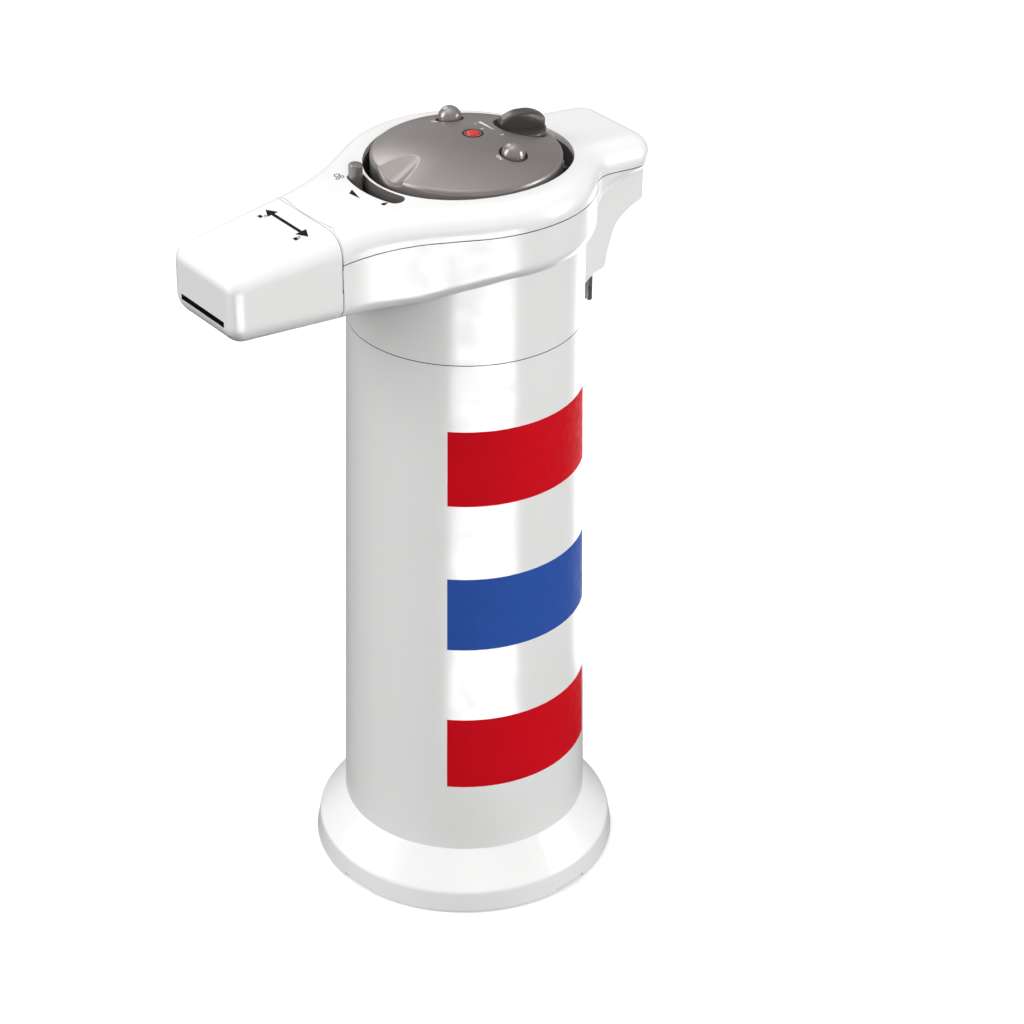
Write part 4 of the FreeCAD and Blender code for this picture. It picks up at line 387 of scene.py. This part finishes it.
def bent_line(points, thickness):
    """A line of even thickness through (x, y) points, as an outline to fill."""
    left, right = [], []
    for k, (x, y) in enumerate(points):
        ahead = points[min(k + 1, len(points) - 1)]
        behind = points[max(k - 1, 0)]
        along = Vector((ahead[0] - behind[0], ahead[1] - behind[1])).normalized() * thickness / 2
        left.append((x - along.y, y + along.x))
        right.append((x + along.y, y - along.x))
    return left + right[::-1]


def together(*drawings):
    """Joins flat drawings into one."""
    whole = drawings[0]
    for drawing in drawings[1:]:
        mesh = bpy.data.meshes.new("share")
        drawing.to_mesh(mesh)
        drawing.free()
        whole.from_mesh(mesh)
        bpy.data.meshes.remove(mesh)
    return whole


# A thin film of painted shadow round the tube's rim stands for the shade in the joint under the head.
tube_seam_inset = 0.4 * mm
tube_rim = max(math.hypot(*corner.co.xy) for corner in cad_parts["can_tube"].data.vertices
               if corner.co.z > tube_top - 0.1 * mm)
tube_seam = bent_line(loop((0, 0), tube_rim - tube_seam_inset, seam_points), seam_width)
printed("tube_seam_line", "base", tube_skin, flat_shape(tube_seam), straight_down, seam_shadow)

mouth_plane = -60 * mm
mouth_height = 239 * mm
mouth_reach = 60 * mm
mouth_seam_inset = 0.45 * mm
behind_mouth = 1.2 * mm
before_mouth = 12 * mm


def mouth_seam(name, body, pieces, side):
    """A fine line of painted shadow just inside the edge of the face where spout and head meet, standing
    for the shade in the joint; `side` is 1 for the head's face and -1 for the spout's."""
    skin = skin_of(*pieces)
    middle = Vector((0, mouth_plane + behind_mouth * side, mouth_height))
    edge = []
    for x, z in loop((0, 0), 1, seam_points):
        outwards = Vector((x, 0, z))
        spot = skin.ray_cast(middle + outwards * mouth_reach, -outwards)[0] - outwards * mouth_seam_inset
        edge.append((spot.x, spot.z))
    line = flat_shape(bent_line(edge, seam_width))
    for corner in line.verts:
        corner.co = (corner.co.x, mouth_plane - before_mouth * side, corner.co.y)
    printed(name, body, skin, line, lambda point: Vector((0, side, 0)), seam_shadow)


mouth_seam("head_mouth_line", "head", ("upper_shell", "lower_shell"), 1)
mouth_seam("spout_seam_line", "spout", ("spout_shell",), -1)

shell_skin = skin_of("upper_shell")
slide_wedge = [(-3.04 * mm, -40.6 * mm), (-1.67 * mm, -42.61 * mm), (3.3 * mm, -42.1 * mm)]
printed("slide_wedge", "head", shell_skin, flat_shape(slide_wedge, rounds=2), straight_down, black_ink)
bubbles = [((-14.0 * mm, -38.6 * mm), 0.85 * mm), ((-12.2 * mm, -38.0 * mm), 0.6 * mm),
           ((-12.1 * mm, -39.6 * mm), 0.55 * mm)]
bubble_rings = [flat_shape(bent_line(loop(middle, radius), sign_line)) for middle, radius in bubbles]
printed("bubble_sign", "head", shell_skin, together(*bubble_rings), straight_down, black_ink)
drop_x, drop_y = 11.2 * mm, -38.9 * mm
drop_radius = 0.75 * mm
drop_tip = 1.7 * mm
drop = loop((drop_x, drop_y), drop_radius, 14, first=-220, last=40) + [(drop_x, drop_y + drop_tip)]
printed("drop_sign", "head", shell_skin, flat_shape(drop), straight_down, black_ink)


# ---------------------------------------------------------------------------------------------
# Valve works. Acetal slides and turns without oil, so cam barrel, adapter and plunger are made
# of it, natural cream white. Two steel pins ride in the barrel's cams, red silicone rings and a
# cup keep the lather in, and a coil of steel wire pushes the plunger back up.
# ---------------------------------------------------------------------------------------------
acetal = moulded("natural_acetal", (0.78, 0.76, 0.70), gloss=0.33, mottle=0.03)
silicone = rubber("red_silicone", (0.42, 0.07, 0.04), gloss=0.45)
finished(acetal, "cam_barrel", "valve_adapter", "plunger")
finished(silicone, "adapter_seal", "plunger_seals")
finished(bright_steel, "cam_pins", "lever_screw")
finished(turned_steel("spring_wire", (0.5, 0.5, 0.51), 0.25, stretch=(1, 1, 6)), "return_spring")


def coil_spring(name, node, body):
    """A copy of a coil spring's mesh that rides on the given body, in place of the hidden imported part."""
    spring = bpy.data.objects.new(name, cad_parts[node].data.copy())
    bpy.context.scene.collection.objects.link(spring)
    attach(spring, body)
    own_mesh(spring)
    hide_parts(node)


coil_spring("return_coil", "return_spring", "head")


# ---------------------------------------------------------------------------------------------
# Heater. A ring of machined aluminium with the lather's channel in it stands on pressed mica,
# wrapped by a blued steel heater band, with a thermostat and a thermal fuse on top in black
# phenolic. Drawn stainless tubes lead the lather in from the valve and out to the spout.
# ---------------------------------------------------------------------------------------------
def pressed_mica(name, colour, flake=2.2 * mm):
    """Mica board: flakes of silver and brown pressed flat, with a pearly shine."""
    mica = Finish(name, IOR=1.58)
    flakes = mica.node("TexVoronoi", Vector=mica.space, Scale=1 / flake).outputs["Color"]
    mica.colours(flakes, shade(colour, 0.7), shade(colour, 1.15))
    mica.gloss(flakes, 0.3, 0.6)
    mica.relief(mica.cloud(0.8 * mm), 12e-6)
    return mica.material


aluminium = turned_steel("machined_aluminium", (0.78, 0.79, 0.80), 0.32, stretch=(1, 1, 0.2))
stainless = turned_steel("drawn_stainless", (0.66, 0.66, 0.67), 0.22, stretch=(1, 8, 1))
blued_band = turned_steel("blued_heater_band", (0.34, 0.30, 0.27), 0.38, stretch=(8, 8, 1))
phenolic = moulded("black_phenolic", (0.035, 0.034, 0.036), gloss=0.4, grain=5e-6)
finished(pressed_mica("pressed_mica", (0.62, 0.52, 0.34)), "heater_insulator")
finished(aluminium, "heater_block")
finished(blued_band, "heater_band")
finished(bright_steel, "heater_screws")
finished(phenolic, "thermostat", "thermal_fuse")
finished(stainless, "outlet_tube", "transfer_tube")


# ---------------------------------------------------------------------------------------------
# Spout. A hollow white shell with a black nozzle pushed into its front, whose slit lays the
# lather out as a flat ribbon. A collar behind it carries the bayonet lugs that turn into the
# socket, over a silicone ring; an arrow and two padlocks on top show which way frees it.
# ---------------------------------------------------------------------------------------------
finished(white_abs, "spout_shell")
finished(inner_white, "spout_collar", "spout_socket")
nozzle_black = moulded("nozzle_black_abs", (0.006, 0.006, 0.006), gloss=0.5)
finished(nozzle_black, "spout_nozzle")
finished(silicone, "spout_seal")
finished(bright_steel, "socket_screws")

front_wall = -94 * mm
slit_height = 232.3 * mm
slit_half_height, slit_half_width = 1.1 * mm, 12 * mm


def in_slit(spot, normal):
    """The walls of the slit through the shell's front."""
    return (spot.y < front_wall and abs(normal.y) < 0.3
            and abs(spot.z - slit_height) < slit_half_height and abs(spot.x) < slit_half_width)


painted("spout_shell", nozzle_black, in_slit)


def double_arrow(middle, length, head, half_head, half_shaft, steps=8):
    """Outlines of an arrow with a head at both ends, lying along X, in pieces that fill well."""
    x, y = middle
    shaft = length / 2 - head * 0.8
    places = [x + shaft * k / steps for k in range(-steps, steps + 1)]
    bar = [(place, y - half_shaft) for place in places]
    bar += [(place, y + half_shaft) for place in places[::-1]]
    heads = [[(x + side * (length / 2 - head), y - half_head), (x + side * length / 2, y),
              (x + side * (length / 2 - head), y + half_head)] for side in (-1, 1)]
    return [bar] + heads


def padlock(middle, swing):
    """A small padlock: a body and a shackle, shifted sideways by `swing` when it is open."""
    x, y = middle
    half_width, body_low, body_high = 0.85 * mm, -0.8 * mm, 0.35 * mm
    body = [(x - half_width, y + body_low), (x + half_width, y + body_low),
            (x + half_width, y + body_high), (x - half_width, y + body_high)]
    bow, bow_height, leg = 0.5 * mm, 0.75 * mm, 0.45 * mm
    bow_x, bow_y = x + swing, y + bow_height
    shackle = [(bow_x + bow, bow_y - leg)] + loop((bow_x, bow_y), bow, 8, first=0, last=180)
    if not swing:
        shackle.append((bow_x - bow, bow_y - leg))
    return together(flat_shape(body), flat_shape(bent_line(shackle, sign_line)))


spout_skin = skin_of("spout_shell")
arrow_parts = double_arrow((0, -66.5 * mm), length=23.0 * mm, head=4.0 * mm, half_head=1.9 * mm,
                           half_shaft=0.55 * mm)
turn_arrow = together(*[flat_shape(part) for part in arrow_parts])
printed("turn_arrow", "spout", spout_skin, turn_arrow, straight_down, black_ink)
open_lock = padlock((-9.4 * mm, -69.6 * mm), swing=0.95 * mm)
shut_lock = padlock((9.7 * mm, -69.6 * mm), swing=0)
printed("open_sign", "spout", spout_skin, open_lock, straight_down, black_ink)
printed("shut_sign", "spout", spout_skin, shut_lock, straight_down, black_ink)


# ---------------------------------------------------------------------------------------------
# Well and press plate. The well in the upper shell is lined by a grey wall; in it the broad domed
# plate tips on its hinge when the thumb presses its scallop, and drives the valve through the
# frame screwed under it. Plate and buttons are a warm metallic grey, the wall a darker one.
# ---------------------------------------------------------------------------------------------
satin_grey = moulded("satin_warm_grey", warm_grey, gloss=0.33, peel=3e-6, grain=1.2e-6, flake=0.6)
well_grey = moulded("well_grey", (0.10, 0.092, 0.088), gloss=0.42, grain=2e-6)
finished(satin_grey, "press_plate")
finished(well_grey, "well_liner")
finished(inner_white, "plate_frame")
finished(bright_steel, "hinge_pin", "board_screws")

white_ink = printing_ink("white_mark_ink", (0.80, 0.80, 0.79), gloss=0.4)
plate_skin = skin_of("press_plate")
mark_size = 1.6 * mm
marks = {"mark_off": ("OFF", -17.5, 0.7), "mark_on": ("ON", 16.5, 0.6), "mark_1": ("1", -6.3, 8.6),
         "mark_2": ("2", -1.4, 7.4), "mark_3": ("3", 5.0, 10.4)}


def lettering(text, x, y):
    """Plain letters or numerals filled flat, to be read from the spout's side."""
    curve = bpy.data.curves.new("lettering", "FONT")
    curve.body = text
    curve.size = mark_size
    curve.align_x = "CENTER"
    curve.align_y = "CENTER"
    curve.resolution_u = 3
    holder = bpy.data.objects.new("lettering", curve)
    bpy.context.scene.collection.objects.link(holder)
    bpy.context.view_layer.update()
    flat = holder.evaluated_get(bpy.context.evaluated_depsgraph_get())
    drawing = bmesh.new()
    drawing.from_mesh(flat.to_mesh())
    bpy.data.objects.remove(holder)
    bmesh.ops.translate(drawing, verts=drawing.verts, vec=(x, y, above))
    return drawing


level_wedge = [(-7.4 * mm, 11.4 * mm), (-7.0 * mm, 10.2 * mm), (1.6 * mm, 10.25 * mm)]
printed("level_wedge", "plate", plate_skin, flat_shape(level_wedge, rounds=2), straight_down, white_ink)
for name, (text, x, y) in marks.items():
    printed(name, "plate", plate_skin, lettering(text, x * mm, y * mm), straight_down, white_ink)


# ---------------------------------------------------------------------------------------------
# Control board. A round glass-fibre board with green solder mask is screwed under the plate and
# holds two push switches, the temperature control and the lamp; copper runs show as lighter
# lines under the mask.
# ---------------------------------------------------------------------------------------------
def solder_mask(name, colour, tracks_per_metre=120.0):
    """Green lacquer over copper tracks and glass cloth."""
    board = Finish(name, IOR=1.5, Roughness=0.25)
    tracks = board.node("TexBrick", Vector=board.space, Scale=tracks_per_metre).outputs["Fac"]
    board.colours(tracks, shade(colour, 0.8), shade(colour, 1.8))
    board.relief(tracks, 25e-6)
    cloth = board.cloud(0.4 * mm)
    board.relief(cloth, 4e-6)
    return board.material


finished(solder_mask("green_solder_mask", (0.015, 0.13, 0.045)), "control_board")
finished(phenolic, "push_switches", "dial_control")
finished(bright_steel, "dial_spindle")


# ---------------------------------------------------------------------------------------------
# Ready lamp and ball buttons. A small light-emitting diode stands on the board under a clear red
# lens in the plate, with a black ring printed round it. The two round buttons, off and on, are
# polished grey balls on stems, each pushed back up by a fine coil spring.
# ---------------------------------------------------------------------------------------------
lens_red = Finish("clear_red_lens", IOR=1.49, Transmission_Weight=0.15)
lens_red.colours(lens_red.cloud(0.6 * mm), (0.60, 0.020, 0.008), (0.72, 0.030, 0.012))
lens_red.gloss(lens_red.cloud(1 * mm), 0.24, 0.34)
finished(lens_red.material, "lamp_lens", "ready_lamp")
ring_radius, ring_width = 3.1 * mm, 0.5 * mm
lens_low, lens_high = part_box("lamp_lens")
lens_middle = ((lens_low.x + lens_high.x) / 2, (lens_low.y + lens_high.y) / 2)
lamp_ring = flat_shape(bent_line(loop(lens_middle, ring_radius), ring_width))
printed("lamp_ring", "plate", plate_skin, lamp_ring, straight_down, black_ink)

ball_grey = moulded("polished_warm_grey", shade(warm_grey, 1.1), gloss=0.24, peel=2e-6, flake=0.6)
finished(ball_grey, "off_button", "on_button")
button_wire = turned_steel("fine_spring_wire", (0.5, 0.5, 0.51), 0.25, stretch=(1, 1, 3))
finished(button_wire, "off_spring", "on_spring")
coil_spring("off_coil", "off_spring", "plate")
coil_spring("on_coil", "on_spring", "plate")


# ---------------------------------------------------------------------------------------------
# Temperature knob and slide lever. The knob is a dark grey disc in a round recess with a tall
# rounded fin to turn it by. The lever is a warm grey pin that stands out of an arc slot in the
# upper shell, with a curved shield below it that keeps the slot shut.
# ---------------------------------------------------------------------------------------------
knob_grey = moulded("satin_dark_grey", (0.10, 0.092, 0.089), gloss=0.33, grain=1.5e-6, flake=0.6)
lever_grey = moulded("lever_warm_grey", shade(warm_grey, 0.9), gloss=0.32, peel=2e-6, flake=0.6)
finished(knob_grey, "temperature_knob")
finished(lever_grey, "slide_lever")


# ---------------------------------------------------------------------------------------------
# Power inlet. A white housing hangs under the tail and guides the plug; two nickel-plated brass
# blades stand down out of it. They are flat stampings, bright, with the grain of the rolled strip.
# ---------------------------------------------------------------------------------------------
nickel = turned_steel("nickel_blades", (0.60, 0.58, 0.55), 0.30, stretch=(1, 1, 10))
finished(white_abs, "inlet_housing")
finished(nickel, "inlet_blades")


# ---------------------------------------------------------------------------------------------
# Studio. A plain pale floor, soft white light from all round that falls off towards the ground,
# and five soft boxes above the machine. Two low boards show only in the gloss and draw the bright
# bands down the tube, and a dark card under the foot, which the camera doesn't see, shades it.
# ---------------------------------------------------------------------------------------------
floor_reach = 6.0
floor_corners = [(x * floor_reach, y * floor_reach, 0) for x, y in ((-1, -1), (1, -1), (1, 1), (-1, 1))]
floor_mesh = bpy.data.meshes.new("floor")
floor_mesh.from_pydata(floor_corners, [], [(0, 1, 2, 3)])
floor = bpy.data.objects.new("floor", floor_mesh)
bpy.context.scene.collection.objects.link(floor)
floor.visible_diffuse = False
floor.visible_glossy = False
paper = Finish("pale_paper", Roughness=0.9)
paper.colours(paper.cloud(300 * mm), (0.80, 0.80, 0.80), (0.82, 0.82, 0.82))
paper.shader.inputs["Emission Color"].default_value = (1, 1, 1, 1)
paper.shader.inputs["Emission Strength"].default_value = 0.3
floor_mesh.materials.append(paper.material)

card_radius = 130 * mm
card_level = -1 * mm
card_mesh = bpy.data.meshes.new("dark_card")
card_mesh.from_pydata([around(angle, card_radius, card_level) for angle in range(0, 360, 10)], [],
                      [tuple(range(36))])
card_mesh.materials.append(moulded("dark_card_grey", (0.05, 0.048, 0.045), gloss=0.9))
card = bpy.data.objects.new("dark_card", card_mesh)
bpy.context.scene.collection.objects.link(card)
card.visible_camera = False

world = bpy.data.worlds.new("studio")
world.use_nodes = True
room = world.node_tree
direction = room.nodes.new("ShaderNodeTexCoord").outputs["Generated"]
parts = room.nodes.new("ShaderNodeSeparateXYZ")
room.links.new(direction, parts.inputs[0])
height_share = room.nodes.new("ShaderNodeMapRange")
height_share.inputs["From Min"].default_value = -1.0
room.links.new(parts.outputs["Z"], height_share.inputs["Value"])
room_light = room.nodes.new("ShaderNodeValToRGB")
tones = room_light.color_ramp.elements
straight_below, straight_above = tones
straight_below.color = (0.030, 0.027, 0.025, 1)
straight_above.color = (0.95, 0.95, 0.95, 1)
for share, tone in ((0.3, (0.040, 0.037, 0.035)), (0.43, (0.10, 0.097, 0.095)),
                    (0.5, (0.54, 0.54, 0.54)), (0.75, (0.34, 0.34, 0.34))):
    tones.new(share).color = (*tone, 1)
room.links.new(height_share.outputs[0], room_light.inputs[0])
room.links.new(room_light.outputs[0], room.nodes["Background"].inputs["Color"])
bpy.context.scene.world = world

camera_side = 53.3
aim_point = Vector((0, 0, 130 * mm))


def soft_box(name, turn, height, distance, width, tall, power):
    """A large rectangular light facing the machine, `turn` degrees round it from the camera."""
    lamp = bpy.data.lights.new(name, "AREA")
    lamp.shape = "RECTANGLE"
    lamp.size = width
    lamp.size_y = tall
    lamp.energy = power
    box = bpy.data.objects.new(name, lamp)
    box.location = around(camera_side + turn, distance, height)
    box.rotation_euler = (aim_point - box.location).to_track_quat("-Z", "Y").to_euler()
    bpy.context.scene.collection.objects.link(box)
    return box


key_box = soft_box("key_box", 12, height=0.75, distance=1.4, width=0.6, tall=0.8, power=9.5)
key_box.visible_glossy = False
soft_box("fill_box", -82, height=0.85, distance=1.5, width=0.8, tall=1.2, power=14)
soft_box("top_box", -100, height=1.9, distance=0.5, width=1.4, tall=1.4, power=6)
soft_box("rim_box", 84, height=0.35, distance=1.5, width=0.5, tall=0.9, power=11)
soft_box("back_box", -150, height=1.15, distance=1.3, width=0.5, tall=0.8, power=4)
low_board = soft_box("low_board", 18, height=-0.66, distance=1.3, width=1.5, tall=0.9, power=165)
low_board.visible_diffuse = False
edge_board = soft_box("edge_board", 150, height=-0.66, distance=1.3, width=0.9, tall=0.9, power=9)
edge_board.visible_diffuse = False

camera_distance = 860.86 * mm
camera_height = 647.09 * mm
camera_yaw, camera_pitch, camera_roll = 0.0182, 0.5429, 0.0110
camera_data = bpy.data.cameras.new("camera")
camera_data.lens = 106.6
camera_data.sensor_width = 36.0
camera_data.clip_start = 0.05
camera = bpy.data.objects.new("camera", camera_data)
bpy.context.scene.collection.objects.link(camera)
camera.matrix_world = (Matrix.Translation(around(camera_side, camera_distance, camera_height))
                       @ Matrix.Rotation(math.radians(camera_side) - camera_yaw, 4, "Z")
                       @ Matrix.Rotation(math.pi / 2 - camera_pitch, 4, "X")
                       @ Matrix.Rotation(camera_roll, 4, "Z"))
bpy.context.scene.camera = camera
bpy.context.scene.view_settings.view_transform = "Standard"
